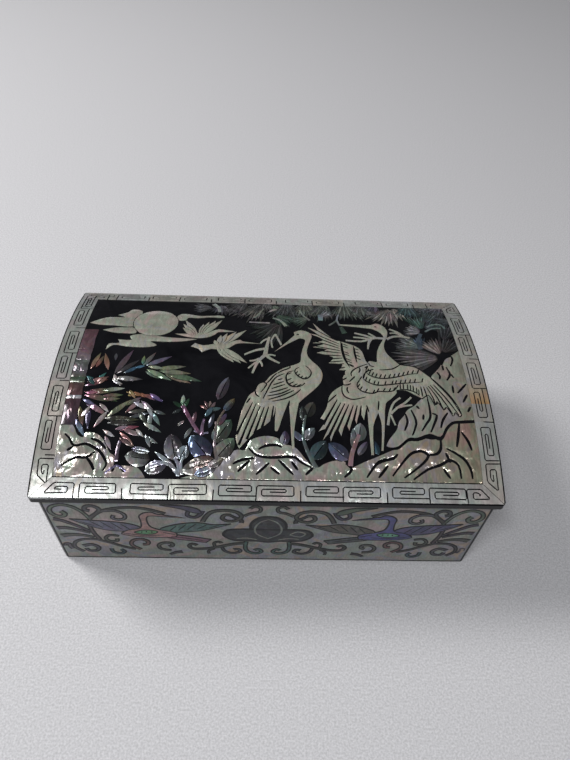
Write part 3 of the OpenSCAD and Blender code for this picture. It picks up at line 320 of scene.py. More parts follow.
# Bamboo: the colours of the stalk from ring to ring, then each leaf with its colours. The near-white leaf
# colours and the pale ring of the stalk are pale shell and painted glints of light in one.
STALK = [
    (22.6, 10, "7c5262", "8a6472"), (9.6, 3.6, "8a6472", "a08a94"), (3.2, -2.4, "8a8a84", "80747c"),
    (-2.8, -5.6, "80747c", "6a6a64"), (-6, -8.4, "566e5c", "5c6452"), (-8.8, -14.6, "745852", "7c4a50"),
    (-15, -16.2, "c8c4d4", "d4d0de"), (-16.6, -28, "6e4a58", "4f4250"),
]
BAMBOO_LEAVES = [
    (-74.6, -1.6, -72, 7.6, "b2705e", "8a8a60"), (-72.6, -0.8, -70.4, 6, "a8685c", "6f7050"),
    (-67.4, -1.8, -70.2, 7.4, "cc8478", "b08a6a"), (-75.6, -5.4, -70.8, -8.6, "2f6a70", "3a8080"),
    (-71.6, -8.4, -67.8, -3.4, "3a7c80", "4a8a88"), (-75.4, -10.4, -66.6, -7, "7c5a78", "b05048"),
    (-74.8, -13.4, -60.8, -12, "a04a68", "5c9050"), (-74.8, -14.8, -61.4, -17.4, "9a5070", "608a50"),
    (-74.6, -17.4, -64.2, -24, "6a5a92", "c4888a"), (-72, -20, -71.2, -30, "50406a", "3a3450"),
    (-75.6, -20, -73.2, -29.6, "7a7c50", "8a5a60"), (-64.6, -4, -58.6, 9.8, "7c6a70", "6f5068"),
    (-64.6, -6, -52.4, -6.6, "cfc4c8", "52484e"), (-65, -6.4, -60.8, -10, "e0d4d8", "8a8088"),
    (-60.8, -3.4, -54.8, 0.4, "4a525c", "3f7ca8"), (-53.6, 0.6, -49, 8.6, "7f9c90", "8e6a74"),
    (-53.8, 1.4, -53.6, 6.4, "4f9a90", "9aa060"), (-52.4, 0.8, -42, 6.4, "8a90a0", "7c6088"),
    (-52, -2.4, -45.6, -6, "8aa088", "6a8070"), (-51.8, -1.2, -41, -6.8, "a6c09c", "8aa088"),
    (-43.8, -3.8, -33, -8, "9aac88", "b08070"), (-44.8, -2.8, -28.6, -7, "8a9a70", "54705f"),
    (-46.6, -2, -33.4, -3, "9aa88c", "a08c78"), (-47.4, -0.8, -35.6, 0.8, "a8aa80", "8a8a78"),
    (-51.4, 0.4, -44.6, -0.6, "c8cab0", "a8aa98"), (-56.4, -0.4, -52.6, 0.6, "4a88b8", "5a94c0"),
    (-57.6, -14.6, -53.6, -14, "d8bc68", "d0905c"), (-54, -13.4, -49, -15.4, "c87a4c", "b0605a"),
    (-63.6, -8.2, -60.4, -9.2, "e8dce0", "a89ca0"), (-64.6, -4.2, -63, -8, "ece2e6", "e0d4d8"),
    (-74.6, -13.6, -69.4, -13.4, "b0587e", "b86a80"), (-75, -16.8, -69.8, -19.4, "8078b4", "7068a0"),
    (-51.8, -14, -43.2, -16.8, "c06a4a", "6a5aa0"), (-51.6, -14.4, -58.4, -13, "c0704a", "b89a50"),
    (-52, -15.4, -58.6, -19.6, "8a6a8a", "7a8a50"), (-52.4, -16.8, -57.6, -22.6, "b8a0b8", "a06a60"),
    (-52, -17, -46.6, -21.6, "b8a4c0", "c8b0c0"), (-47.2, -22, -43.4, -28, "8ab0b8", "7a8a78"),
    (-47.6, -22.4, -47.6, -30, "d0d4d0", "8a9894"), (-46.8, -21.4, -41.6, -23, "8a949a", "50504a"),
    (-48.6, -22.6, -56, -24.6, "7c848c", "4a5048"), (-66, -25, -51.6, -25.6, "403c3c", "5c5a44"),
    (-60, -30, -51.4, -28.4, "9a6a80", "b04868"), (-58, -29.6, -49.6, -32.4, "8a4060", "d8ccd0"),
    (-58.6, -31, -52.6, -36.6, "a04a50", "c09890"), (-49.4, -32.4, -43.6, -35.4, "9aa0a8", "8a9088"),
    (-48.6, -31.8, -46.4, -37, "7a8090", "b8c0c8"),
    (-63.4, -3.6, -55.2, 4, "58525a", "4a464e"), (-65.6, 7.4, -65.2, 3.2, "6a666a", "55535a"),
    (-74.6, -8.6, -66.4, -5.6, "a06878", "b07468"), (-70, -9.2, -66.8, -5.4, "c08a84", "9a6a60"),
    (-67.8, -12.4, -59.2, -11.2, "6a7a58", "e2e0d8"), (-67.4, -15, -59.4, -14.4, "a06070", "6f8a60"),
    (-67, -16.6, -60.4, -16.2, "96586a", "8a9a70"), (-64.4, -24.4, -56, -16.6, "767c64", "a8a684"),
    (-68.2, -18.6, -64, -22.4, "b898a0", "eae2e2"), (-64.6, -22, -69, -29.4, "dccccc", "a8747c"),
    (-76.4, -25.8, -71.8, -33.2, "5c5a86", "8ca4b8"), (-74.4, -24.8, -71.4, -19.6, "a49098", "c8bcc0"),
    (-52.6, -21.8, -48.2, -27.6, "62685f", "565a58"), (-56.4, -22.4, -49, -21.2, "6f6c66", "4c4c4a"),
    (-50, -26.8, -42.6, -30.8, "d8dcd8", "7c8c84"), (-65.2, -30.2, -60.4, -33, "c49aa4", "eee8ea"),
    (-64, -32.6, -61.2, -38.2, "8a5a6a", "e6dce0"), (-52.6, -29.6, -49.4, -32.8, "d8d0d4", "e8e4e8"),
    (-58.4, -33.4, -53, -36.8, "6e4a4c", "9a7a78"), (-60.6, -29.8, -55.6, -28.4, "7c5a72", "c8b4c4"),
    (-64, -27.2, -52.4, -26.8, "3c3a3c", "504c48"), (-71.6, -9.8, -75, -6.2, "3a7074", "56888c"),
    (-57.2, -12, -54.4, -16, "c8a860", "b0906c"), (-49, -13.4, -43.4, -17.4, "8a6aa0", "5c4c96"),
    (-54.8, -17.6, -49, -20.8, "c4b4cc", "e4dce8"), (-49.2, -19.4, -46.4, -24.6, "c8bcd0", "dce0e6"),
]
# Plants on the shore: leaves (start, end, width, colours), then stems (line, widths, colour). The near-white
# leaf colours are pale shell and painted glints of light in one.
PLANT_LEAVES = [
    ((-36.4, -42), (-38.8, -31.2), 7.2, "c8c0cc", "54465a"),
    ((-34.8, -41.4), (-32.4, -36), 4.8, "a4b0c8", "ccd2dc"),
    ((-23.6, -41), (-31.2, -31.8), 8.4, "6a5a8a", "55789a"),
    ((-21, -41.4), (-33.8, -46.4), 6.6, "b07868", "ece0dc"),
    ((-22, -34.6), (-15.8, -24.6), 6.2, "a89a90", "6a9a84"),
    ((-21, -41), (-14.4, -32.6), 6.4, "c4a8ac", "8aac8c"),
    ((-21.5, -15.8), (-17.8, -4.4), 4.2, "7a6a74", "8a88a0"),
    ((-18.8, -21), (-14.8, -15), 3, "4a6a9a", "9a8a50"),
    ((-47.6, -46.4), (-39.4, -43.2), 5.2, "e4e0e4", "8a74a8"),
    ((-46, -41.8), (-55.6, -40.6), 7, "48404a", "dcdad4"),
    ((-53.4, -37.6), (-46.4, -38.8), 2.6, "565a78", "e4e4e8"),
    ((-36.2, -45), (-44.2, -38.8), 1.8, "a8a8b8", "d4d8e0"),
    ((-28.8, -47.6), (-20.6, -44.6), 3.4, "6a8ac0", "e4dcd8"),
    ((-24, -44.6), (-18, -40.8), 3, "e8dcd8", "b09c8c"),
    ((-23.4, -20.6), (-28.6, -18.6), 1.4, "a08890", "8a4a4a"),
    ((-23.6, -20.9), (-27, -16.4), 1.4, "a08890", "7a4a50"),
    ((-24, -21), (-24.6, -16.4), 1.4, "c0a8a8", "d0b8b0"),
    ((-24.4, -20.8), (-22.4, -16.8), 1.4, "b0989c", "90787c"),
    ((-24.9, -20.6), (-20, -19.6), 1.6, "8098a0", "6a8a94"),
    ((-23.5, -19.3), (-26, -23.6), 2, "6a90a8", "4a7080"),
    ((-35.4, -19.6), (-35.4, -13.8), 1.8, "3f9a50", "e4ece4"),
    ((-35.4, -19.6), (-39.4, -17), 1.6, "2f6a40", "3a4a40"),
    ((-34.6, -19.6), (-33, -15.4), 1.4, "2f6a44", "4a6a54"),
    ((-35.6, -20.4), (-39, -22.4), 1.4, "3c4444", "4a5050"),
    ((-30.6, -26.6), (-29.8, -21.4), 1.6, "8a5a74", "6a4a5a"),
    ((-31, -28.4), (-33.6, -33), 1.6, "4a5258", "c4c8cc"),
    ((-36.6, -27.6), (-34.2, -25.6), 1.2, "5a4a4c", "e0dcd8"),
    ((-24.4, -28.6), (-22.6, -22), 1.8, "4a5068", "5a5a6a"),
    ((-22.6, -33.4), (-22, -28.8), 1.6, "7a8a9a", "d8dce0"),
    ((-17.8, -22), (-20.6, -27.6), 1.8, "5a4a84", "a0706a"),
    ((14, -23), (17, -15.8), 4.8, "4a4c4c", "8a8078"),
    ((12.8, -24.8), (12.4, -17.8), 2.6, "4a5254", "5c6262"),
    ((12.8, -32.6), (17.2, -27.6), 4, "e0d0d4", "8c9aa8"),
    ((12.4, -33), (8.6, -29), 2.4, "6a6a88", "74809c"),
    ((16.2, -40.6), (21.6, -33), 6.2, "5a7a80", "4a5c68"),
    ((30, -40.6), (22.6, -33.8), 6, "8e7ea4", "5a76a8"),
    ((34.6, -33), (35.6, -25), 5.4, "a8b0ae", "eceeec"),
    ((32, -35.6), (32.6, -27.4), 2.2, "9a8c94", "808c90"),
    ((34, -38.6), (37.8, -33), 2.8, "b0a4b4", "7c6c8c"),
    ((42, -38.4), (40.2, -32.4), 2.6, "4c7c8c", "4a6c94"),
    ((5.6, -35), (5.6, -29), 3.4, "a094b4", "7a6c98"),
    ((4.2, -34.4), (4.6, -30.6), 1.6, "d0ccd4", "ecebee"),
]
PLANT_STEMS = [
    ([(-22, -30), (-20.8, -25), (-18.6, -20.4)], 1, 0.8, "8a7a70"),
    ([(-35, -48), (-35, -44), (-36.8, -41)], 1.6, 1, "b0b0c0"),
    ([(-20.6, -41.6), (-21.8, -35), (-21.4, -29), (-21.8, -25.6)], 1.2, 0.8, "9a8a8c"),
    ([(-34.8, -47.8), (-38.4, -43.6), (-44.4, -42.6)], 1.6, 0.9, "b4b4c8"),
    ([(-33.4, -47.6), (-34.2, -43), (-33.2, -40.6)], 1.2, 0.8, "c8ccd8"),
    ([(-58.6, -42.8), (-58.6, -38), (-58, -34.6)], 1.4, 1.2, "6a5a6e"),
    ([(-62.4, -47.6), (-58.4, -44.4), (-54.6, -46.6)], 0.8, 0.8, "7c6a9a"),
    ([(-30, -29.8), (-27, -30.8), (-24.4, -30.4)], 0.7, 0.7, "a89cc0"),
    ([(-26.8, -31.6), (-27, -28), (-26.4, -24.6)], 1.6, 0.9, "8a6c90"),
    ([(-27.6, -31), (-30.6, -27), (-35.4, -18.6)], 1.2, 1.6, "8a5a78"),
    ([(17.6, -44), (14.8, -38.6), (12.6, -31.4), (13.8, -22)], 1.8, 0.8, "6a7a78"),
    ([(30.8, -43), (31.6, -38), (34.8, -30)], 2, 1.4, "b88a90"),
]
MOON = ((-51.8, 29), 9.8)
CLOUDS = [
    [(-59, 37.5), (-60.5, 39.2), (-64, 39.4), (-65.5, 37), (-69.6, 34.4, 1), (-66, 32.6), (-73, 32.3),
     (-77, 30.4), (-80.7, 27.5, 1), (-76.4, 26.3), (-70, 26), (-61.2, 25.6), (-60, 31)],
    [(-74.1, 22.5, 1), (-68.8, 24.3), (-64.7, 24.6), (-60.5, 24.4), (-59.5, 20.8), (-64.7, 20.5),
     (-69.3, 20.9)],
    [(-70.3, 9.6, 1), (-69.8, 13.2), (-65.5, 13.9), (-66.4, 16.2, 1), (-60.5, 16), (-61.6, 18.6), (-57, 20),
     (-46, 18.4), (-38, 17.9), (-32.6, 17.6, 1), (-38.4, 16), (-46, 15.4), (-52.4, 15.4), (-49.4, 13),
     (-54, 11.6), (-62.2, 11.8), (-67.6, 12.6)],
    [(-43.2, 33.4), (-41.4, 36.5), (-38, 36.6), (-33.3, 35.4), (-28.3, 35.7), (-22.3, 36.1), (-21.7, 34.5),
     (-28.3, 34.6), (-33.3, 33.6), (-37.6, 33.8), (-38.8, 31.6), (-41.7, 31.2)],
]
FLYING_BODIES = [
    [(-42.4, 21, 1), (-37, 21.2), (-32.8, 22), (-29.5, 21.6), (-26.6, 23.4), (-23.6, 25), (-20, 24.4),
     (-16.4, 23.7, 1), (-20.5, 23.2), (-23.6, 23), (-25, 21.2), (-28.3, 19), (-33, 18.4), (-38, 19.4)],
    [(-34.8, 12.8, 1), (-33.2, 15, 1), (-29.6, 13.6), (-25.4, 14.6), (-20.4, 15.6), (-16.6, 17),
     (-13.8, 17.8),
     (-12.6, 16.8), (-4.6, 15.6, 1), (-12.6, 15.8), (-15.8, 15), (-18.4, 12.4), (-22, 11.2), (-26, 11.6),
     (-29.8, 9.4, 1), (-31.4, 11.4)],
]
FLYING_FEATHERS = [
    (-32.6, 20, -38.9, 31.5, 2.6), (-33.4, 20, -39.6, 28.4, 2.4), (-34, 20, -39.6, 25.6, 2.2),
    (-31.6, 20.6, -30.6, 28.6, 2.2), (-31.2, 20.8, -28.2, 30.5, 2.2), (-30.8, 20.8, -25.2, 31.8, 2.4),
    (-30.4, 20.6, -22.4, 32.3, 2.6),
    (-21.4, 14.4, -11.3, 24.9, 2.6), (-22, 14.4, -15.6, 23.6, 2.4), (-22.6, 14.4, -19.6, 22.3, 2.2),
    (-23.2, 14.2, -22.3, 20.8, 2.2), (-23.6, 14, -25, 17.2, 2), (-24, 13, -16, 3.8, 3),
    (-22.8, 13, -13, 3.4, 3), (-21.4, 12.6, -10.4, 3.6, 2.6),
]
TWIGS = [
    ([(-1.1, 20.4), (-1.9, 15.4), (-2.3, 12.6), (-2.9, 8.2)], 1, 2),
    ([(-0.9, 19.6), (-3.2, 18.2), (-4.9, 15.9)], 1.2, 0.7),
    ([(-2.4, 12.6), (-6.8, 11.4), (-11.6, 8.6)], 1.5, 0.8),
    ([(-2.8, 8.6), (-5.8, 4.6), (-8, -2)], 1.8, 0.8),
    ([(-5.4, 5), (-7.4, 3.4), (-9.8, 0.7)], 1.1, 0.7), ([(-5.2, 6.4), (-7.4, 5.2), (-9.4, 4.9)], 1.1, 0.7),
    ([(-5, 5), (-4.2, 3.4), (-4, 1.8)], 1, 0.6), ([(-2.8, 9), (-0.4, 6.4), (3.4, 4)], 1.6, 0.8),
    ([(-1.8, 8.6), (0, 8.8), (1.6, 8.2)], 1, 0.7), ([(1.5, 22.6), (3, 18.4), (4.6, 14)], 0.9, 0.9),
    ([(1.5, 22.4), (-0.2, 18), (0.3, 13.2)], 0.9, 0.7),
    ([(49.9, 21.3), (46.6, 21.6), (44.3, 21), (39.6, 19), (32.6, 19.4)], 1.5, 0.9),
    ([(45, 21.4), (41.6, 23.2), (37, 24.9)], 1.4, 0.9),
    ([(43.6, 20.6), (40, 21.4), (36.2, 21.8)], 1.2, 0.8),
    ([(46.4, 21.6), (45, 23.4), (43.2, 25)], 1.1, 0.7),
    ([(43.9, 20.6), (42.7, 18), (41.9, 13.8)], 1.6, 0.6),
    ([(51.2, 21), (54, 22.8), (57.4, 23.2), (61.6, 22.2)], 1.3, 1.2),
    ([(58.6, 23.4), (56.4, 26.4), (53.2, 28.6)], 1.6, 0.8),
    ([(57.4, 24.6), (55.4, 25.6), (53, 25.4)], 1.1, 0.7),
    ([(46.6, -25.7), (48, -19.4), (50, -15.2), (52.8, -12.9)], 1, 0.8),
    ([(48.3, -20.4), (51.4, -17.4), (54.6, -15.2), (57.3, -12.5)], 1, 0.8),
    ([(50.6, -17.8), (54, -16.8), (57.3, -16.3)], 0.9, 0.7), ([(48.1, -21), (49.6, -25.7)], 0.8, 0.6),
]
STANDING_CRANE = [
    (12.8, 25.8), (9.8, 24.2, 1), (9.9, 21.8), (1, 10.5, 1), (11.8, 19.8), (14.4, 19.4), (14.5, 17.2),
    (13.5, 13.4),
    (12.6, 9), (12.2, 5.2), (10.8, 3.8), (7.5, 2.3), (4.6, 0.9), (2.2, -1), (-0.6, -3.4), (-2.6, -6.3),
    (-5.2, -7.8),
    (-6.6, -11.1), (-8.8, -13), (-10.5, -16.9), (-12.4, -23.6), (-13.6, -33), (-12.2, -36.8, 1),
    (-8.3, -32.2),
    (-5.7, -29.1, 1), (-2.8, -27.2, 1), (0.6, -23.6), (1.8, -18.3), (1.5, -28.9), (2.6, -29.1),
    (4.6, -22.6),
    (7, -15.9, 1), (7.5, -22), (7.9, -30), (8.3, -36.4, 1), (9.2, -36.4, 1), (9.1, -29.4), (9.9, -23.1),
    (11.1, -16.4, 1), (13.8, -13.5), (17.6, -9.7), (20.2, -6.3), (21.2, -3), (21, -0.1), (19.5, 2.8),
    (17.1, 5.7),
    (15.4, 8.6), (15.2, 11.9), (15.9, 15.3), (17.1, 19.1), (17.6, 22), (16.4, 24.4),
]
SPREAD_CRANE = [
    [(18.7, 31.8, 1), (22.6, 25.8), (25.6, 21.9), (28.2, 19.4), (30.9, 18.2), (33.8, 16.9), (37.1, 15),
     (39, 12.4), (39.7, 9), (40.7, 5.4), (44, 4), (46, -6), (38, -14), (30.6, -9), (29.7, -3.2, 1),
     (31, 0.4), (28.4, 0.9, 1), (30, 4), (24.2, 4.7, 1), (26.4, 8.2), (19.4, 10.7, 1), (24, 13),
     (18, 14.3, 1), (23, 16.6), (17.9, 17, 1), (23, 19.4), (16, 23.9, 1), (21.6, 22.2, 1), (16.2, 28.2, 1),
     (21, 25.2, 1)],
    [(45, 31.4), (47.6, 32.8), (50.6, 31), (52, 27), (51.3, 22.5), (49.6, 18.2), (49.1, 14.8),
     (49.8, 11.4), (51.8, 8.1), (54.4, 4.8, 1), (50, -8), (40, -8), (41, 5), (41.9, 6.4), (44.8, 5.9),
     (45.2, 8.6), (45.8, 12.4), (47.2, 16.2), (49.1, 20.1), (49.8, 22.5), (48.9, 25.4), (46.9, 27.4),
     (44.8, 28.6), (30.9, 30.6, 1), (30.9, 31.4, 1)],
    [(46, 2), (54.4, 4.4), (56.8, 4.1), (60.2, 3.5), (62.8, 1.8), (66.6, -2.2), (69.6, -5.9), (73, -10.8),
     (75.6, -15.9), (76.8, -20.4), (76, -21, 1), (74.6, -19), (73.6, -20.9, 1), (71.4, -16.6),
     (70.2, -18.2, 1), (67.8, -14), (66.8, -16.2, 1), (64.8, -11), (61.8, -12.9, 1), (58.5, -10.9),
     (55.5, -9.2), (51.7, -9), (51.5, -10.6), (49.1, -13.3), (46.5, -15.9), (45.3, -25.5), (44, -36.6, 1),
     (43.2, -36.6, 1), (44.1, -25.5), (43.1, -20.2, 1), (40.6, -26.5), (40.2, -38.4, 1), (39.2, -38.4, 1),
     (38.8, -27), (38.6, -17.8), (37.1, -23.6, 1), (35.6, -20.4), (34, -25.4, 1), (33, -22.6),
     (31, -28.4, 1), (29.6, -25.4), (27.7, -30.8, 1), (26, -27.6), (23.5, -33.2, 1), (22.8, -30),
     (20.4, -32.9, 1), (21.6, -28), (18.8, -29, 1), (21.4, -24.4), (19.7, -23.3, 1), (22.2, -18.6),
     (23, -15.4), (23.8, -12.6), (26, -9.8), (30, -7)],
]
# The graver's lines on the two large cranes.
STANDING_LINES = [
    [(11.6, 1.8), (10.2, 0.9), (9.7, -0.6), (10.4, -2.2), (12, -3.7), (13.8, -4.4), (15.7, -3.3),
     (16.6, -1.2),
     (16, 0.9), (14.2, 2.9)],
    [(9.3, -0.2), (7, -1), (6, -3.6), (6.4, -6.4), (8, -8.2), (10.6, -8.5), (12.6, -7.8), (13.9, -6.4)],
    [(7.6, 2.8), (7.7, 1.5), (4.4, -0.3), (2.4, -1.8)],
    [(5.4, -1.8), (2.2, -3.6), (0, -6.8), (-1.8, -11), (-3.4, -14.8)],
    [(2.3, -1.7), (1, -3), (-0.6, -5.4), (-1.8, -7)],
    [(-3.8, -6.6), (-2.4, -6.9), (-2.1, -8), (-4.3, -11.6)],
    [(-6.6, -10.8), (-6.2, -12.8), (-4.8, -13.9)],
    [(2.6, -5.2), (4.6, -4.5)], [(0.7, -7.9), (5.2, -5.9)], [(0, -9.8), (5.6, -7.4)],
    [(-0.8, -11.8), (3, -10.6), (6.8, -9)],
    [(-1.6, -13.4), (4, -12), (7.8, -9.8)], [(-1.2, -15.1), (4, -13.2), (9.2, -10.4)],
    [(0.4, -15.9), (5.4, -14.6), (9.4, -12.4), (12, -9.8)],
    [(-8.4, -14.4), (-10, -17)], [(7.3, -15.4), (7, -18.4)],
]
SPREAD_WING_LINES = [
    [(30.4, 18.6), (30.3, 12.9), (31.2, 7), (33.2, 2.4)], [(35.8, 15.6), (35.7, 11), (36.4, 5.4)],
    [(17.4, 29), (22, 24.6), (26, 21), (29, 18.8)], [(17, 25.4), (22, 21.6), (29.5, 16.8)],
    [(17.6, 22), (23, 19), (29.5, 15.2)], [(17.6, 18.4), (24, 16.3), (29.6, 13.8)],
    [(18, 15.2), (24, 13.7), (29.8, 12.4)],
    [(18.8, 12.2), (24.4, 11.6), (30, 10.9)], [(19.8, 9.6), (25, 9.4), (30, 9.2)],
    [(21, 7.2), (26, 7.4), (30.3, 7.8)],
    [(23.2, 5.2), (27, 5.6), (30.5, 6.2)], [(25.6, 3.4), (30.8, 4.6)], [(28, 1.6), (31.2, 2.6)],
    [(28, -0.2), (31.4, 0.8)],
    [(28.6, -2.4), (31, -1.2)], [(29.6, -4.6), (31.4, -3.2)],
    [(41, 4.8), (37.2, 3), (34.6, 1.2), (33.3, -0.8), (33.6, -2.4)], [(37, 2.6), (37.3, 1.2), (36.6, -0.4)],
    [(35, -2.4), (34, -3.4), (32.3, -5.4)],
]
SPREAD_BODY_LINES = [
    [(41.4, 5.4), (41.8, 3.9), (43.6, 3.1)], [(45.6, 1.5), (51, 2.1), (54.6, 4.6)],
    [(40.6, 3.4), (39.4, 2.4)], [(43.2, 1.8), (40.2, 0.6)],
    [(64.4, -7.2), (66.4, -12.6), (67, -15.8), (68, -15)],
    [(65.2, -6.6), (68.2, -12.4), (70, -18), (71, -17)],
    [(66, -6), (69.8, -12.4), (73.6, -20.2)], [(67.4, -5.8), (71.6, -12.4), (76, -20.6)],
    [(62, -7), (62.2, -12)],
    [(63.2, -7), (64.2, -13.4)], [(66.8, -2.4), (70, -6.8), (74, -13), (76.8, -20)],
    [(29.4, -7), (31.4, -7), (33, -6.2)],
    [(29.2, -7.4), (29, -10.6), (30.2, -13), (33.4, -14.2), (38.6, -12.8)],
    [(31.4, -8), (31.1, -9.6), (31.8, -11.2)],
    [(26.6, -12), (22.8, -16)], [(38.6, -16.8), (39.3, -20)], [(43.8, -14.6), (43.2, -19)],
]
# The gaps between tail feathers, which widen towards the tips.
SPREAD_TAIL = [
    [(26.8, -14.4), (20.6, -26)], [(28.2, -15.8), (20.4, -31)], [(29.8, -16.2), (22, -32.6)],
    [(31.4, -16.6), (25, -31)], [(33.2, -17), (29, -28.4)], [(34.8, -17), (32.4, -26)],
    [(36.4, -17), (35.4, -23)],
]
STANDING_TAIL = [
    [(-7.5, -16.6), (-13.4, -31)], [(-6, -17), (-12.4, -35.4)], [(-4.4, -18.2), (-9.4, -33)],
    [(-2.8, -18.6), (-6.4, -30.4)],
    [(-1, -18.4), (-3.6, -28)], [(0.9, -18), (0.1, -25)],
]
# Rows of feather tips: the line below the row, how many feathers, and the way each cut goes.
STANDING_ROWS = [
    ([(10, -1), (10.8, -2.6), (12.4, -3.9), (14.2, -4.2)], 4, (0.9, 1)),
    ([(6.2, -2), (6.4, -6), (8.4, -8.2), (10.6, -8.4)], 5, (2.1, 1.3)),
]
SPREAD_ROWS = [
    ([(39.8, 1.6), (40.3, -0.8), (42.6, -2.4), (46, -3.2), (50, -2.8), (54, -1.8), (58, -0.6),
      (61.8, -0.1)], 14, (1.1, 2.3)),
    ([(39.2, -1.2), (38.2, -3.2), (40, -5.2), (44, -6.8), (50, -6.2), (54, -5.6), (58, -5.2), (63.4, -4.5)],
     15, (0.8, 2.1)),
    ([(37.2, -3.6), (35.6, -6), (35.7, -8.4), (37.6, -10.2), (41.6, -11), (44, -10), (48, -10),
      (50.6, -9.3),
      (51.8, -8)], 11, (1.1, 1.9)),
    ([(53, -8.6), (56, -8.8), (59, -9.8), (61, -11.6)], 7, (0.2, 3)),
    ([(30.8, 17.6), (30.9, 12), (31.8, 6.4), (32.8, 3.6)], 8, (2.5, -1.3)),
    ([(36, 14.4), (36, 11), (36.5, 7.6)], 4, (1.9, -1)),
]
EYES = [(11.6, 22.7), (47.2, 30.2)]
# Where the standing rock meets the shore.
ROCK_FOOT = [(45.3, -34.6), (50, -33.4), (58, -30.6), (66, -31), (72, -24.6), (81.8, -23.4)]
FEATHER_CUT = 0.7
ROCK_CUT = 1.25


def cuts(lines, width):
    return [gap(stroke(line, width)) for line in lines]


def set_leaf(piece, a, b, width, margin, look, *form):
    """A leaf of shell in a gap that is wider by the margin."""
    return [gap(leaf(a, b, width + margin, *form)), shell(piece, leaf(a, b, width, *form), *look)]


def feather_rows(rows):
    """The cuts along rows of feather tips: the row's own line, then one cut up from it for each feather."""
    layers = []
    for line, count, reach in rows:
        path = smooth_line(line, 8)
        feet = [path[round((k + 0.5) / count * (len(path) - 1))] for k in range(count)]
        layers += cuts([line], FEATHER_CUT)
        layers += cuts([[foot, foot + Vector(reach)] for foot in feet], 0.85 * FEATHER_CUT)
    return layers


# A needle's width as a share of its room, where it starts and ends as shares of the reach, and its sway.
NEEDLE_WIDTH = 0.68
NEEDLE_ROOT = 0.12
NEEDLE_TIP = 0.9
NEEDLE_SWAY = 0.22
# The form of a needle: the steps of its edge, and how full it is.
NEEDLE_FORM = (4, 0.7)


def pine_needles(centre, r, start, end, needles, inner, outer, light):
    """Needles that spread from one centre, each in a thin dark outline, painted lit and painted in shade in
    turn.
    """
    layers = []
    width = max(0.7, NEEDLE_WIDTH * math.radians(abs(end - start)) * r / needles)
    for i in range(needles + 1):
        sway = noise.noise(Vector((centre[0], centre[1], 0.7 * i)))
        d = on_circle(math.radians(start + (end - start) * (i + 0.5 * sway) / needles))
        root = flat(centre) + d * NEEDLE_ROOT * r
        tip = flat(centre) + d * r * (NEEDLE_TIP + NEEDLE_SWAY * sway)
        # Every other needle is painted lit and the rest are painted in shade, from the same colours.
        near, far = [dimmed(code, light * (1.25 if i % 2 else 0.6)) for code in (inner, outer)]
        layers.append(gap(leaf(root, tip + d * 0.3, width + 0.4, *NEEDLE_FORM)))
        layers.append(shell("pine_boughs", leaf(root, tip, width, *NEEDLE_FORM), near, far, centre, tip))
    return layers


# The dark sprays at the back: how much further they reach, how many degrees wider, and their light.
BACK_REACH = 1.14
BACK_SPREAD = 9
BACK_LIGHT = 0.4
FRONT_LIGHT = 0.82


def pine():
    """Dark sprays at the back, the sprays themselves a little smaller over them, then single strokes."""
    layers = []
    for centre, r, start, end, needles, *colours in PINE:
        layers += pine_needles(centre, BACK_REACH * r, start - BACK_SPREAD, end + BACK_SPREAD, needles + 2,
                               *colours, BACK_LIGHT)
    for spray in PINE:
        layers += pine_needles(*spray, FRONT_LIGHT)
    return layers + bands("pine_boughs", PINE_STROKES)


def rocks():
    browner = ROCK_GREY, ROCK_BROWN
    return [*[shell("shore_rocks", smooth(rock), *browner, (20, -40), (80, -46)) for rock in SHORE_ROCKS],
            *cuts(SHORE_CUTS, ROCK_CUT), *cuts([ROCK_FOOT], 0.8),
            shell("standing_rock", smooth(STANDING_ROCK), *browner, (60, -4), (92, -12)),
            *cuts(STANDING_CUTS, 0.85 * ROCK_CUT)]


# The stalk: its left and right edge, how much further down each part goes, and how far a ring stands out.
STALK_LEFT = -81.6
STALK_RIGHT = -76
STALK_DOWN = 0.35
RING = 0.3


def bamboo():
    """The stalk with its rings at the left edge of the picture, and the leaves."""
    layers = []
    for top, low, colour, low_colour in STALK:
        low -= STALK_DOWN
        ring = STALK_RIGHT + RING
        outline = [(STALK_LEFT, top), (STALK_RIGHT, top), (ring, top - 0.5), (STALK_RIGHT, (top + low) / 2),
                   (ring, low + 0.5), (STALK_RIGHT, low), (STALK_LEFT, low)]
        layers.append(shell("bamboo", [flat(p) for p in outline], rgb(colour), rgb(low_colour),
                            (-79, top), (-79, low)))
    for x0, v0, x1, v1, colour, tip in BAMBOO_LEAVES:
        a, b = (x0, v0), (x1, v1)
        width = 0.9 + 0.12 * math.hypot(x1 - x0, v1 - v0)
        layers += set_leaf("bamboo", a, b, width, 0.6, (rgb(colour), rgb(tip), a, b), 5)
    return layers


def moon_and_clouds():
    centre, r = MOON
    return [*[shell("moon_and_clouds", smooth(cloud), CLOUD_GREY) for cloud in CLOUDS],
            gap(disc(centre, r + 0.3)), shell("moon_and_clouds", disc(centre, r), CLOUD_GREY)]


# Leaves wider than these get a painted shaded half and a painted lit half, and a vein.
LIT_AND_SHADED_WIDTH = 2.5
VEINED = 4
# The light of a leaf in one tone, and of the painted shaded half and the painted lit half of the others.
ONE_TONE = 0.8
SHADED_HALF = 0.32
LIT_HALF = 0.9
LEAF_FORM = (8, 0.6)


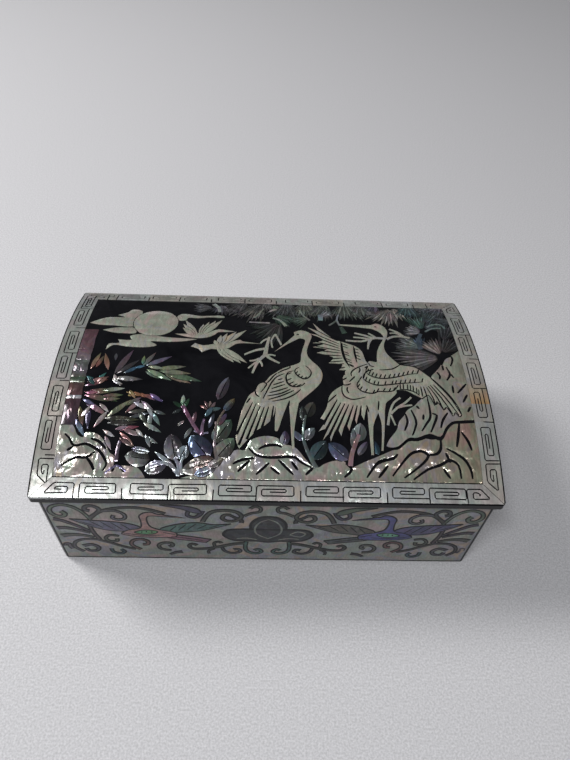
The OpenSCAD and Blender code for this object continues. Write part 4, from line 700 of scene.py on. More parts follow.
def plants():
    """Leaves with a painted shaded half and a painted lit half, and with a vein, where they are large enough,
    then the stems.
    """
    layers = []
    for a, b, width, colour, tip in PLANT_LEAVES:
        shade = SHADED_HALF if width > LIT_AND_SHADED_WIDTH else ONE_TONE
        look = dimmed(colour, shade), dimmed(tip, shade), a, b
        layers += set_leaf("shore_plants", a, b, width, 0.8, look, *LEAF_FORM)
        # A wide leaf's painted lit half goes over the whole leaf, which is painted in shade.
        if width > LIT_AND_SHADED_WIDTH:
            half = leaf(a, b, width, *LEAF_FORM)[:9]
            look = dimmed(colour, LIT_HALF), dimmed(tip, LIT_HALF), a, b
            layers.append(shell("shore_plants", half, *look))
        if width > VEINED:
            layers += cuts([[flat(a).lerp(flat(b), t) for t in (0.12, 0.8)]], 0.45)
    return layers + bands("shore_plants", PLANT_STEMS)


def outlined(piece, outline, edge=None):
    """A crane's shape with a dark line along its edge, where it lies on other shell."""
    points = smooth(outline)
    dark = [band_of(edge, 1)] if edge else rim(points, 1)
    return [gap(half) for half in dark] + [shell(piece, points, CRANE_GREY)]


def cranes():
    layers = [shell("crane_twigs", band(line, w0, w1), GREY_GREEN) for line, w0, w1 in TWIGS]
    layers += [shell("flying_cranes", smooth(body, 2), CRANE_GREY) for body in FLYING_BODIES]
    for x0, v0, x1, v1, width in FLYING_FEATHERS:
        layers += set_leaf("flying_cranes", (x0, v0), (x1, v1), width, 0.6, (CRANE_GREY,))
    raised_wing, neck, body = SPREAD_CRANE
    layers += outlined("spread_crane", raised_wing) + cuts(SPREAD_WING_LINES, FEATHER_CUT)
    layers.append(shell("spread_crane", smooth(neck), CRANE_GREY))
    layers += outlined("spread_crane", body, smooth_line(body[1:-7])) + cuts(SPREAD_BODY_LINES, FEATHER_CUT)
    layers += feather_rows(SPREAD_ROWS) + [gap(band(line, 0.4, 1.3)) for line in SPREAD_TAIL]
    layers += outlined("standing_crane", STANDING_CRANE) + cuts(STANDING_LINES, FEATHER_CUT)
    layers += feather_rows(STANDING_ROWS) + [gap(band(line, 0.4, 1.1)) for line in STANDING_TAIL]
    return layers + [gap(disc(eye, 0.55, 10)) for eye in EYES]


def picture_layers():
    return pine() + rocks() + bamboo() + moon_and_clouds() + plants() + cranes()


# ---- the fret border: a line is drawn along a strip and in from the edge that its stems stand on ----

FRET_LINE = 0.5
OCHRE = rgb("b8926a")
FAR = 0.75 * strip
NEAR = 0.24 * strip
SIDES = {
    "border_front": lambda s, t: Vector((s, -outer_v + t)),
    "border_back": lambda s, t: Vector((s, field_v + t)),
    "border_right": lambda s, t: Vector((outer_x - t, s)),
    "border_left": lambda s, t: Vector((-field_x - t, s)),
}
# The stems along each strip, and the reach of a cell on either side of its stem.
STEMS = {
    "border_front": ([-38.2, -5.2, 27.8, 60.8], 14.2),
    "border_back": ([-73.4, -43.9, -12.9, 19.5, 53.3], 12.8),
    "border_right": ([-39.9, -7.3, 25.5], 14),
    "border_left": ([-24.6, 7, 39.3], 14),
}
# The short line between two cells stands this far from the stem, as a share of the reach.
JOINT = 1.18


def inner_half(name):
    """Half the length of a strip along its inner edge."""
    return field_x if name in ("border_front", "border_back") else field_v


def cell(s, reach, side):
    """One fret cell beside the stem at s; side is 1 after it and -1 before it."""
    if side > 0:
        turns = [(0, 0), (0, FAR), (reach, FAR), (reach, NEAR), (2.1, NEAR), (2.1, 0.57 * strip),
                 (0.8 * reach, 0.57 * strip), (0.8 * reach, 0.42 * strip), (0.36 * reach, 0.42 * strip)]
    else:
        turns = [(0, NEAR), (-reach, NEAR), (-reach, FAR), (-1.9, FAR), (-1.9, 0.44 * strip),
                 (-0.8 * reach, 0.44 * strip), (-0.8 * reach, 0.59 * strip), (-0.36 * reach, 0.59 * strip)]
    return [(s + x, t) for x, t in turns]


def corner_cell(s, end, side):
    """The cell at a mitre: s is where it starts and end is the mitre at the strip's inner edge."""
    return [(s, 0), (s, FAR), (end, FAR), (end + 0.46 * strip * side, NEAR), (s + 2.2 * side, NEAR),
            (s + 2.2 * side, 0.56 * strip), (end - 1.2 * side, 0.56 * strip),
            (end + 0.2 * side, 0.42 * strip), (s + 4.4 * side, 0.42 * strip)]


def joint(s, share=0.52):
    return [(s, 0), (s, share * strip)]


# How far the corners of a fret line are eased, and how far the hand sways from it; millimetres.
EASE = 0.5
SWAY = 0.25


def rounded(points):
    """A line with its corners eased."""
    points = [Vector(p) for p in points]
    out = points[:1]
    for a, b, c in zip(points, points[1:], points[2:]):
        for step in (a - b, c - b):
            out.append(b + step * min(0.45, EASE / max(step.length, 1e-6)))
    return out + points[-1:]


def hand_cut(line, place):
    """A fret line as a hand cuts it, slightly uneven."""
    points = []
    for p in rounded(line):
        spot = place(p.x, p.y)
        sway = drift(Vector((spot.x, spot.y, 0)) * 0.21)
        points.append(spot + Vector((sway.x, sway.y)) * SWAY)
    return layer(None, band_of(points, FRET_LINE), PEARL)


def strip_outline(name, s0, s1):
    """Part of a border strip from s0 to s1, mitred where it meets a corner."""
    inner_first = name in ("border_back", "border_left")
    along = inner_half(name)

    def edge(t, s):
        out = t if inner_first else strip - t
        return SIDES[name](math.copysign(along + out, s) if abs(s) >= along else s, t)

    return [edge(0, s0), edge(0, s1), edge(strip, s1), edge(strip, s0)]


# How much the sheets of a strip differ in shade, and the span of the ochre sheet.
TILE_SHADE = 0.35
OCHRE_SPAN = (-15, -2)


def strip_tiles(index, name):
    """The sheets of one strip, each in its own shade, with one ochre sheet at the right."""
    stems, reach = STEMS[name]
    inner = inner_half(name)
    joints = sorted(x for s in stems for x in (s, s + JOINT * reach) if abs(x) < inner - 2)
    ends = [-inner - strip, *joints, inner + strip]
    layers = []
    for s0, s1 in zip(ends, ends[1:]):
        shade = [1 + TILE_SHADE * noise.noise(Vector((s0, 9 * index, 0.12 * k))) for k in range(3)]
        layers.append(layer(name, strip_outline(name, s0, s1), tuple(a * b for a, b in zip(PEARL, shade))))
    if name == "border_right":
        ends = [SIDES[name](s, 0) for s in OCHRE_SPAN]
        layers.append(layer(name, strip_outline(name, *OCHRE_SPAN), OCHRE, PEARL, *ends))
    return layers


def fret_lines(name):
    """The lines of one strip: two cells and a joint at each stem, and its own cells at the mitres."""
    stems, reach = STEMS[name]
    inner = inner_half(name)
    lines = []
    for s in stems:
        lines += [cell(s, reach, 1), cell(s, reach, -1), joint(s + JOINT * reach)]
    if name == "border_front":
        return [*lines[:-1], cell(-71.2, reach * 0.95, 1), corner_cell(75.4, inner - 1.2, 1),
                corner_cell(-73.2, 1.2 - inner, -1), joint(-55.4)]
    if name == "border_back":
        return [*lines, corner_cell(75, inner - 1.2, 1), corner_cell(-77.6, 1.2 - inner, -1)]
    if name == "border_right":
        return [lines[0], corner_cell(-41.2, 1 - inner, -1), *lines[2:-1], joint(42.6, 0.5),
                corner_cell(44.4, inner - 1, 1)]
    lines = [line for line in lines if line[0][0] < 50]
    return [*lines[:-1], corner_cell(41, inner - 1, 1), cell(39.3, reach, -1), joint(-40.8, 0.5),
            corner_cell(-42.2, 1 - inner, -1)]


# The hairline where two strips meet at a corner.
MITRE_LINE = 0.2


def border_layers():
    layers = []
    for index, (name, place) in enumerate(SIDES.items()):
        layers += strip_tiles(index, name) + [hand_cut(line, place) for line in fret_lines(name)]
    for x, y in CORNERS:
        mitre = [Vector((x * (field_x - 0.2), y * (field_v - 0.2))),
                 Vector((x * (outer_x + 0.2), y * (outer_v + 0.2)))]
        layers.append(layer(None, band_of(mitre, MITRE_LINE), PEARL))
    return layers


# ---- from layers to solids ----

# The lid is cut in rows this wide, so that its sheets follow the vault; millimetres.
ROW = 4.0
# How far the pieces reach into the lacquer below them.
SINK = 0.05
# How far the normals turn over at the edges of the picture's shell, which is polished slightly round.
ROUNDING = 0.24
# Chooses the lean of each sheet.
SEED = 5.3
# How far a sheet leans: in the border, and in the picture and the scrolls.
BORDER_LEAN = 0.07
SHELL_LEAN = 0.11


def turns_left(outline):
    return sum(a.cross(b) for a, b in zip(outline, outline[1:] + outline[:1])) > 0


def cut_pieces(layers, row_reach):
    """Overlays all layers; returns the points and, for each visible layer, its triangles."""
    points, loops, rows = [], [], []
    for _, outline, *_ in layers:
        loop = list(range(len(points), len(points) + len(outline)))
        points += outline
        loops.append(loop if turns_left(outline) else loop[::-1])
    count = math.ceil(row_reach / ROW)
    for i in range(-count, count + 1 if row_reach else -count):
        rows.append((len(points), len(points) + 1))
        points += [Vector((-outer_x - 5, i * ROW)), Vector((outer_x + 5, i * ROW))]
    points, _, triangles, _, _, owners = delaunay_2d_cdt(points, rows, loops, 0, 1e-4)
    solids = {}
    for triangle, owner in zip(triangles, owners):
        if owner and layers[max(owner)][0]:
            solids.setdefault(max(owner), []).append(triangle)
    return points, solids


def tilt_of(outline, name):
    """How a piece of shell sits: a slight lean, so that each takes the light in its own way."""
    steep = BORDER_LEAN if name.startswith("border") else SHELL_LEAN
    lean = drift(Vector((outline[0].x * 0.37, outline[0].y * 0.61, SEED)))
    return Vector((lean.x, lean.y, 0)) * steep


def edges_of(triangles):
    return {(a, b) for t in triangles for a, b in zip(t, t[1:] + t[:1])}


def mesh_of(name, verts, faces, smooth_shaded=True):
    mesh = bpy.data.meshes.new(name)
    mesh.from_pydata(verts, [], faces)
    if smooth_shaded:
        mesh.polygons.foreach_set("use_smooth", [True] * len(mesh.polygons))
    return mesh


def inlay_mesh(name, tiles, layers, points, place, normal_at, thick):
    """One piece from its tiles of shell, closed by walls where no other tile of the piece joins on."""
    verts, faces, tints, normals = [], [], [], []
    rounding = 0 if name.startswith("border") or name.endswith("scrolls") else ROUNDING
    top, low = {}, {}
    for i in sorted({i for _, triangles in tiles for triangle in triangles for i in triangle}):
        top[i], low[i] = len(verts), len(verts) + 1
        verts += [place(*points[i], thick), place(*points[i], -SINK)]
    piece_edges = edges_of(triangle for _, triangles in tiles for triangle in triangles)

    def side_of(a, b):
        way = place(*points[b], 0) - place(*points[a], 0)
        return way.cross(normal_at(*points[a])).normalized()

    for index, triangles in tiles:
        _, outline, colour, end_colour, start, end = layers[index]
        axis = end - start
        lean = tilt_of(outline, name)
        edges = edges_of(triangles)
        outward = {}
        for a, b in sorted(edges):
            if (b, a) not in edges:
                for i in (a, b):
                    outward[i] = outward.get(i, Vector()) + side_of(a, b)

        def tint(i):
            t = max(0, min(1, (points[i] - start).dot(axis) / axis.length_squared))
            return tuple(a + (b - a) * t for a, b in zip(colour, end_colour)) + (1,)

        def top_normal(i):
            round_over = outward.get(i, Vector()).normalized() * rounding
            return (normal_at(*points[i]) + lean + round_over).normalized()

        for triangle in triangles:
            under = triangle[::-1]
            faces += [[top[i] for i in triangle], [low[i] for i in under]]
            normals += [top_normal(i) for i in triangle] + [-normal_at(*points[i]) for i in under]
            tints += [tint(i) for i in (*triangle, *under)]
        for a, b in sorted(edges):
            if (b, a) not in piece_edges:
                faces.append([low[a], low[b], top[b], top[a]])
                normals += [side_of(a, b)] * 4
                tints += [tint(i) for i in (a, b, b, a)]
    mesh = mesh_of(name, verts, faces)
    colours = mesh.color_attributes.new("tint", "FLOAT_COLOR", "CORNER")
    colours.data.foreach_set("color", [c for tint in tints for c in tint])
    mesh.normals_split_custom_set(normals)
    return mesh


def inlay_meshes(layers, *form, row_reach=0.0):
    """One mesh for each piece name; its corners hold colours, and its normals the lie of each sheet."""
    points, solids = cut_pieces(layers, row_reach)
    pieces = {}
    for index in sorted(solids):
        pieces.setdefault(layers[index][0], []).append((index, solids[index]))
    return {name: inlay_mesh(name, tiles, layers, points, *form) for name, tiles in pieces.items()}


# ---- the scrolls on the sides: across from the middle of the face, and up from the table ----

SCROLL_X = 88.5
SCROLL_H = 52.4
END_X = 55
DARK = (0.01, 0.01, 0.012)
EDGE = 0.6
# Half of the front: ribbons (line, widths, colour), then the parts of the flying crane and the flower.
FRONT_RIBBONS = [
    ([(70.4, 36.6), (72.6, 43), (76, 47.2), (80, 48.4), (83.8, 46.4), (84.8, 42.4), (83, 39.4),
      (80.6, 39.2),
      (79.4, 41.2), (80.6, 43.2)], 1.5, 2.2, "7c8a7c"),
    ([(71, 38), (67.4, 41.8), (65.6, 45.2), (67.8, 47.8), (70.4, 47.2), (71.2, 44.8), (69.4, 43.8)], 1.5, 2,
     "5c5c60"),
    ([(70.6, 37.4), (66, 43), (60, 46), (52, 47), (45.6, 45.2), (40.6, 42.4)], 1.7, 1.5, "55534f"),
    ([(65, 43.8), (60, 44.2), (56.8, 41.6), (56.8, 38.2), (59.4, 36.8), (61.6, 38.4), (60.8, 40.4)], 1.5,
     1.5, "7a7a84"),
    ([(26.4, 36), (24.6, 41), (22, 44.6), (17, 45.8), (12.6, 44.4), (10.8, 41), (12.6, 37.8), (16, 36.9),
      (18.4, 39),
      (17.4, 42), (15, 42)], 2, 1.7, "66665f"),
    ([(15.4, 42), (13.4, 40), (10.8, 37.6), (11, 35.6)], 1.2, 1.8, "4c4c4e"),
    ([(9.8, 41.4), (6.8, 43.8), (3.8, 45), (3.4, 48), (5.6, 49.2), (7.4, 47.4)], 1.3, 1.4, "6c6c62"),
    ([(31.4, 44.6), (32, 41.2), (29.4, 39.6), (27.2, 41.8), (26, 45)], 1.6, 2, "5a5468"),
    ([(71.8, 34), (71.4, 26), (69.8, 19.4)], 1.5, 1.8, "6a5a60"),
    ([(70, 19), (76, 19.2), (80.4, 16.4), (81.4, 11.4), (78.4, 7.4)], 1.4, 1.6, "5c5860"),
    ([(77.8, 12.8), (74, 14.2), (71.6, 11.4), (73, 8.4), (76, 8.2), (77, 10.4)], 2, 1.6, "6e6a76"),
    ([(70.4, 18.8), (66, 16.2), (61, 12.6), (56, 10.4)], 1.3, 1.6, "5a5654"),
    ([(85.2, 12.8), (85, 14.6), (83.4, 14.6), (83.4, 12.4), (82.6, 10)], 1.3, 2, "6c6270"),
    ([(66.4, 10.4), (66, 7.2), (63, 5.8), (61.2, 7.8), (62.4, 9.8)], 1.6, 1.6, "4c6e74"),
    ([(61.4, 22.4), (65, 23.2), (67.2, 20.4), (65.8, 17.6), (62.8, 18), (62.6, 20)], 1.3, 1.6, "6c7064"),
    ([(53.8, 10.2), (57.2, 14), (56.4, 18.2), (53, 19.8), (50.2, 18), (50.6, 15.2), (52.6, 15)], 1.6, 2,
     "8a6a68"),
    ([(41, 9.6), (45, 10.6), (46, 14), (43.8, 16.6), (40.6, 16.4), (40.2, 14), (41.8, 13.2)], 1.6, 1.8,
     "70706a"),
    ([(9, 17.4), (14, 16.4), (20, 13.8), (26, 11.6), (31.6, 11.4), (33.2, 14), (31.6, 16), (29.8, 14.8)], 2,
     1.6, "5c5c58"),
    ([(22, 13), (22.6, 16.8), (20.6, 18.4), (19.4, 17)], 1.2, 1.3, "66645c"),
    ([(25, 6.6), (25.2, 9.2), (22.8, 11.6)], 1, 1.2, "5a5a58"),
    ([(42, 5.4), (39.4, 7.4), (36.4, 8.2)], 1, 2.4, "5e5660"),
    ([(19.2, 12.8), (18.2, 9.4), (15, 7.4), (11.6, 9), (12.4, 11.4), (14.4, 11)], 1.4, 1.7, "5c5c64"),
    ([(9, 18.6), (9.4, 13), (8.2, 9), (4.8, 7.4), (2.4, 9.2), (3.8, 11.6), (5.6, 10.6)], 1.8, 1.6,
     "5e7a74"),
    ([(85, 36.9), (82, 35.6), (76.6, 31), (72.4, 26.6)], 2.4, 1.2, "64586a"),
    ([(85, 29.1), (82, 29.4), (77, 27.6), (72.6, 25)], 2.6, 1.2, "6a606c"),
    ([(84.8, 22.1), (81, 23.2), (76, 22.8), (71.6, 21)], 3, 1.2, "6e6c66"),
]
FLOWER = [
    [(-6.4, 30), (-7, 35), (-4, 39.8), (0, 41), (4, 39.8), (7, 35), (6.4, 30)],
    [(-18.4, 24.6), (-16.6, 29), (-11, 30), (0, 30), (11, 30), (16.6, 29), (18.4, 24.6), (14, 20),
     (5, 19.6),
     (0, 18.6), (-5, 19.6), (-14, 20)],
]
FLOWER_LINES = [
    [(0, 22), (4.6, 26), (5.4, 31.4), (3.2, 36.6), (0, 38.8)],
    [(9, 25.6), (12, 28.4), (15.4, 26.8), (13.4, 23.8), (9, 25.6)],
    [(4.4, 20.8), (8.6, 22.2), (13, 21.6)],
]
# The flying crane: outline, then the colours on the left and on the right of the face.
SIDE_CRANE = [
    ([(78.6, 37, 1), (70, 36), (62, 35), (55.6, 33.4), (51.6, 30.4), (54, 28), (60, 27), (66, 28),
      (72, 31.4)],
     "6c6a7c", "5c5a78"),
    ([(15, 34.6, 1), (22, 33.6), (28, 35.2), (34, 34.4), (39, 32.6), (44, 29), (40, 26), (34, 27),
      (26, 28.8)],
     "5c726e", "64605c"),
    ([(23.6, 20.4, 1), (32, 22.8), (40, 24.6), (44, 23.4), (40, 21), (33, 19.2), (26, 17.4, 1)], "8a6878",
     "5a5c60"),
    ([(51.8, 30), (50.8, 36), (51, 40), (49, 42.6), (46, 43.4), (44, 42), (33.4, 39, 1), (44.4, 40.4),
      (47.6, 40),
      (48.4, 36), (47.4, 31), (44, 28.6), (38, 26.4), (38, 22.6), (46, 21.8), (54, 22.4), (60, 24.6),
      (57, 28)],
     "a88484", "5e5c8c"),
    ([(54.6, 26), (52, 27.8), (48, 28.2), (45, 27), (47, 25), (51, 24.6)], "6a9a70", "6aa08c"),
    ([(42, 49.2, 1), (34, 49), (28, 46.8), (26.4, 43.4), (29.6, 43.6), (34, 46.4)], "5c566a", "5a6258"),
]
SIDE_FEATHERS = [
    [(75, 35), (70, 31.6)], [(71, 35.4), (66.6, 30)], [(67, 35.2), (62.8, 29)], [(63, 34.6), (59, 28.4)],
    [(59.4, 33.6), (56, 28.6)], [(20, 33.2), (24, 31)], [(24.6, 33.8), (29, 29.6)], [(29, 34.4), (33, 29)],
    [(33, 33.8), (36.6, 28.4)], [(37, 32.4), (40, 28)], [(60, 25.6), (52, 23.6), (43, 24)],
    [(43, 26.4), (38, 24.4)],
    [(40, 22.6), (32, 21), (27, 19.2)], [(49.8, 26.2), (49.6, 27.4)], [(51.8, 25.8), (51.4, 27)],
    [(47.6, 26), (47.4, 27.2)],
]
END_RIBBONS = [
    ([(14, 24), (22, 30), (31, 34), (38.6, 38.4)], 1.8, 1.4, "6c6c66"),
    ([(14, 22), (22, 18.6), (31, 16), (38.6, 12.6)], 1.8, 1.4, "6a6668"),
    ([(32, 26), (41, 30), (50.6, 32)], 1.2, 2.6, "64586a"), ([(32, 24.8), (51, 25)], 1.2, 2.8, "6a606c"),
    ([(32, 23.6), (42, 20.4), (50.6, 18)], 1.2, 2.6, "6e6c66"),
    ([(17, 26), (19.8, 30.4), (21.4, 35.9)], 1.2, 1.4, "7c8a7c"),
    ([(45, 31), (49.8, 33), (49.1, 36.6)], 1.2, 1.6, "7a7a84"),
    ([(17, 20.6), (20, 18), (21.9, 14.5)], 1.2, 1.4, "8a6a68"),
    ([(45, 19.6), (49.8, 17.8), (49.1, 14.5)], 1.2, 1.6, "5e7a74"),
    ([(4, 38.6), (9.4, 38.4), (12.3, 42.3)], 1.2, 1.4, "5c5c60"),
    ([(2.6, 19), (8.6, 15), (12.3, 9.3)], 1.2, 1.4, "6e6a76"),
]
END_LEAVES = [([(19.4, 26.4, 1), (24, 29), (29.6, 28.4), (34.6, 25, 1), (29.6, 22.6), (24, 22.6)], "5c726e",
               "5c5a78")]
END_VEINS = [[(21.4, 25.8), (33, 25)], [(24, 25.8), (26.4, 27.8)], [(27.4, 25.6), (29.6, 27.4)],
             [(24.6, 25.4), (27.2, 23.6)], [(28.2, 25.2), (30.6, 23.8)]]
END_CURLS = [
    ((27, 38), 6, 200, -440, "7c8a7c"), ((44, 38.4), 5.4, -20, 440, "7a7a84"),
    ((27, 12.6), 5.4, 160, 440, "8a6a68"),
    ((44, 12.6), 5.4, 20, -440, "5e7a74"), ((8.4, 43), 4, -10, 420, "5c5c60"),
    ((8.4, 8.6), 4, 10, -420, "6e6a76"),
]


# How much of its radius a curl loses at each of its ten steps.
WIND_IN = 0.072


def curl(centre, r, start, turn):
    """A line that turns about its centre and winds in."""
    angles = [math.radians(start + turn * i / 10) for i in range(11)]
    return [flat(centre) + r * (1 - WIND_IN * i) * on_circle(angle) for i, angle in enumerate(angles)]


# The ribbons' width and light, as shares of their listed ones, and the light of the shapes.
RIBBON_WIDTH = 0.85
RIBBON_LIGHT = 0.5
SHAPE_LIGHT = 0.8


def face_layers(piece, k, high_k, ribbons, shapes, feathers):
    """The layers of one face: dark outlines with the shell inside them, on both halves."""
    layers = []

    def lay(outline, colour):
        layers.append(layer(piece, [Vector((p.x * k, p.y * high_k)) for p in outline], colour))

    def lay_shape(outline, colour, line_width):
        edge = smooth(outline)
        lay(edge, colour)
        for half in rim(edge, line_width):
            lay(half, DARK)

    for side in (-1, 1):
        def turned(points):
            return [(side * p[0], *p[1:]) for p in points]

        for line, w0, w1, _ in ribbons:
            lay(band(turned(line), RIBBON_WIDTH * w0 + EDGE, RIBBON_WIDTH * w1 + EDGE), DARK)
        for line, w0, w1, colour in ribbons:
            widths = [max(0.4, RIBBON_WIDTH * w - EDGE) for w in (w0, w1)]
            lay(band(turned(line), *widths), dimmed(colour, RIBBON_LIGHT))
        for outline, left_colour, right_colour in shapes:
            colour = dimmed(left_colour if side < 0 else right_colour, SHAPE_LIGHT)
            lay_shape(turned(outline), colour, 1.1 * EDGE)
        for line in feathers:
            lay(stroke(turned(line), 1.1 * EDGE), DARK)
    for outline in FLOWER:
        lay_shape(outline, rgb("3a3a3e"), 2 * EDGE)
    for line in FLOWER_LINES:
        for side in (-1, 1):
            lay(stroke([(side * x, y) for x, y in line], 0.8), dimmed("8c8c86", SHAPE_LIGHT))
    return layers


# ---- materials ----

class Paint:
    """One node material, with short ways to add and join its nodes."""

    def __init__(self, name):
        self.material = bpy.data.materials.new(name)
        self.material.use_nodes = True
        self.tree = self.material.node_tree
        self.shader = self.tree.nodes["Principled BSDF"]

    def feed(self, source, socket):
        """Joins a socket to another, or sets it where the source is a plain value."""
        if isinstance(source, bpy.types.NodeSocket):
            self.tree.links.new(source, socket)
        elif socket.type == "RGBA":
            socket.default_value = (*source, 1)
        else:
            socket.default_value = source

    def set(self, **values):
        for key, value in values.items():
            self.feed(value, self.shader.inputs[key.replace("_", " ")])
        return self.material

    def node(self, kind, inputs, **settings):
        """The outputs of a new node, with its inputs given by name or by number."""
        node = self.tree.nodes.new("ShaderNode" + kind)
        for key, value in settings.items():
            setattr(node, key, value)
        for key, value in inputs.items():
            self.feed(value, node.inputs[key])
        return node.outputs

    def place(self, stretch=(1, 1, 1), turn=0.0):
        spot = self.node("TexCoord", {})["Object"]
        turned = 0, 0, math.radians(turn)
        return self.node("Mapping", {"Vector": spot, "Scale": stretch, "Rotation": turned})["Vector"]

    def noise(self, size, detail=2.0, rough=0.5, twist=0.0, *place):
        """Cloudy noise whose features measure about size millimetres."""
        inputs = {"Vector": self.place(*place), "Scale": 1 / (size * MM), "Detail": detail,
                  "Roughness": rough, "Distortion": twist}
        return self.node("TexNoise", inputs)["Fac"]

    def flakes(self, size, stretch):
        """A random colour for each flake of about size millimetres."""
        return self.node("TexVoronoi", {"Vector": self.place(stretch), "Scale": 1 / (size * MM)})["Color"]

    def ramp(self, factor, *stops):
        """A colour for each level of the factor; a stop's colour may be one number for a grey."""
        node = self.tree.nodes.new("ShaderNodeValToRGB")
        self.feed(factor, node.inputs["Fac"])
        elements = node.color_ramp.elements
        while len(elements) < len(stops):
            elements.new(0.5)
        for element, (position, colour) in zip(elements, stops):
            element.position = position
            element.color = (*(colour if isinstance(colour, tuple) else (colour,) * 3), 1)
        return node.outputs["Color"]

    def mix(self, factor, a, b, blend="MIX"):
        return self.node("Mix", {0: factor, 6: a, 7: b}, data_type="RGBA", blend_type=blend)[2]

    def range(self, value, low, high):
        return self.node("MapRange", {"Value": value, "To Min": low, "To Max": high})["Result"]

    def vector(self, operation, *values):
        return self.node("VectorMath", dict(enumerate(values)), operation=operation)["Vector"]

    def bump(self, height, depth, **normal):
        """A relief of about depth millimetres."""
        return self.node("Bump", {"Distance": depth * MM, "Height": height, **normal})["Normal"]

    def tilted(self, flakes, amount):
        """A normal that leans a little on each flake."""
        lean = self.vector("MULTIPLY", self.vector("SUBTRACT", flakes, (0.5, 0.5, 0.5)), (amount,) * 3)
        return self.vector("NORMALIZE", self.vector("ADD", self.node("NewGeometry", {})["Normal"], lean))


def nacre(name, tint, hues, hue_size, hue_strength, flake, lean, rough=(0.18, 0.34), metallic=0.45,
          purity=1.0, wave=0.3, depth=1.0, contrast=0.3, coat=0.5, ior=1.6):
    """Polished shell: a tint, drifting hues, flakes that each take the light, and fine growth lines."""
    paint = Paint(name)
    if tint is None:
        tint = paint.node("Attribute", {}, attribute_name="tint")["Color"]
    if purity < 1:
        tint = paint.node("HueSaturation", {"Saturation": purity, "Value": depth, "Color": tint})["Color"]
    hue = paint.noise(hue_size, 1.6, 0.5, 1.0, (1, 0.7, 1), 20)
    flakes = paint.flakes(flake, (1, 0.7, 1))
    grain = paint.noise(0.9, 3, 0.6, 0.4, (1, 0.2, 0.3), 32)
    swell = paint.noise(6, 2, 0.45, 0.6, (1, 0.5, 1), 25)
    colour = paint.mix(hue_strength, tint, paint.ramp(hue, *hues), "OVERLAY")
    flake_grey = paint.node("RGBToBW", {0: flakes})[0]
    colour = paint.mix(contrast, colour, paint.ramp(flake_grey, (0.25, 0.2), (0.75, 0.8)), "OVERLAY")
    colour = paint.mix(0.35, colour, paint.ramp(grain, (0.32, 0.3), (0.68, 0.72)), "OVERLAY")
    lines = paint.bump(grain, 0.02, Normal=paint.tilted(flakes, lean))
    return paint.set(Base_Color=colour, Roughness=paint.range(paint.noise(4, 2), *rough), IOR=ior,
                     Normal=paint.bump(swell, wave, Normal=lines), Metallic=metallic, Coat_Weight=coat,
                     Coat_Roughness=0.12)


PEARL_HUES = [(0.3, (0.64, 0.47, 0.5)), (0.42, (0.53, 0.5, 0.47)), (0.49, (0.44, 0.55, 0.48)),
              (0.56, (0.53, 0.5, 0.46)), (0.63, (0.46, 0.5, 0.58)), (0.72, (0.64, 0.52, 0.4))]
ROCK_HUES = [(0.3, (0.68, 0.44, 0.52)), (0.42, (0.54, 0.5, 0.46)), (0.49, (0.42, 0.58, 0.5)),
             (0.56, (0.54, 0.5, 0.47)), (0.63, (0.47, 0.46, 0.64)), (0.72, (0.66, 0.52, 0.4))]
SIDE_HUES = [(0.3, (0.64, 0.5, 0.54)), (0.42, (0.52, 0.51, 0.46)), (0.5, (0.44, 0.54, 0.5)),
             (0.58, (0.46, 0.47, 0.6)), (0.68, (0.64, 0.52, 0.42))]
ABALONE_HUES = [(0.28, (0.66, 0.38, 0.46)), (0.38, (0.5, 0.46, 0.58)), (0.46, (0.38, 0.54, 0.58)),
                (0.54, (0.46, 0.6, 0.46)), (0.62, (0.6, 0.52, 0.44)), (0.72, (0.5, 0.42, 0.6))]


def lacquer():
    """Black lacquer, rubbed to a high gloss, with a few faint rub marks."""
    paint = Paint("black_lacquer")
    rub = paint.noise(18, 4, 0.6, 0.8)
    return paint.set(Base_Color=paint.ramp(rub, (0.35, (0.003, 0.003, 0.004)), (0.75, (0.009, 0.009, 0.011))),
                     Roughness=paint.range(rub, 0.06, 0.14), IOR=1.4, Specular_IOR_Level=0.3,
                     Normal=paint.bump(paint.noise(2.5), 0.004))


def velvet(name, colour, tip):
    """Short pile, with the nap lying in soft patches, lighter and darker: partly the nap itself, partly
    painted sheen.
    """
    paint = Paint(name)
    pile = paint.noise(0.45, 2, 0.7)
    # The lighter and darker patches are partly painted sheen where the nap catches the light.
    shade = paint.mix(paint.range(paint.noise(11, 3, 0.6, 1.2), 0.1, 0.9), rgb(colour), rgb(tip))
    shade = paint.mix(0.5, shade, paint.ramp(pile, (0.3, 0.25), (0.7, 0.72)), "OVERLAY")
    return paint.set(Base_Color=shade, Roughness=0.95, Sheen_Weight=0.9, Sheen_Roughness=0.35,
                     Sheen_Tint=(0.95, 0.32, 0.38), Normal=paint.bump(pile, 0.12))


def felt():
    """Black wool felt with a loose fibre."""
    paint = Paint("felt")
    fibre = paint.noise(0.8, 4, 0.7, 1.5)
    return paint.set(Base_Color=paint.ramp(fibre, (0.3, (0.012, 0.012, 0.013)), (0.75, (0.05, 0.05, 0.052))),
                     Roughness=0.95, Sheen_Weight=0.4, Normal=paint.bump(fibre, 0.15))


def brass():
    """Polished brass with fine turning marks and a little tarnish."""
    paint = Paint("brass")
    tarnish = paint.noise(4, 4, 0.65, 0.6)
    marks = paint.noise(0.25, 2, 0.6, 0, (0.08, 1, 1))
    return paint.set(Base_Color=paint.ramp(tarnish, (0.35, rgb("a8813f")), (0.65, rgb("d6ae62"))),
                     Metallic=1.0, Roughness=paint.range(tarnish, 0.34, 0.18), Normal=paint.bump(marks, 0.01))


def silvered_glass():
    """A mirror with a faint haze."""
    paint = Paint("mirror")
    haze = paint.noise(25, 3)
    return paint.set(Base_Color=paint.ramp(haze, (0.3, (0.82, 0.84, 0.84)), (0.7, (0.87, 0.88, 0.88))),
                     Metallic=1.0, Roughness=paint.range(haze, 0.015, 0.035))


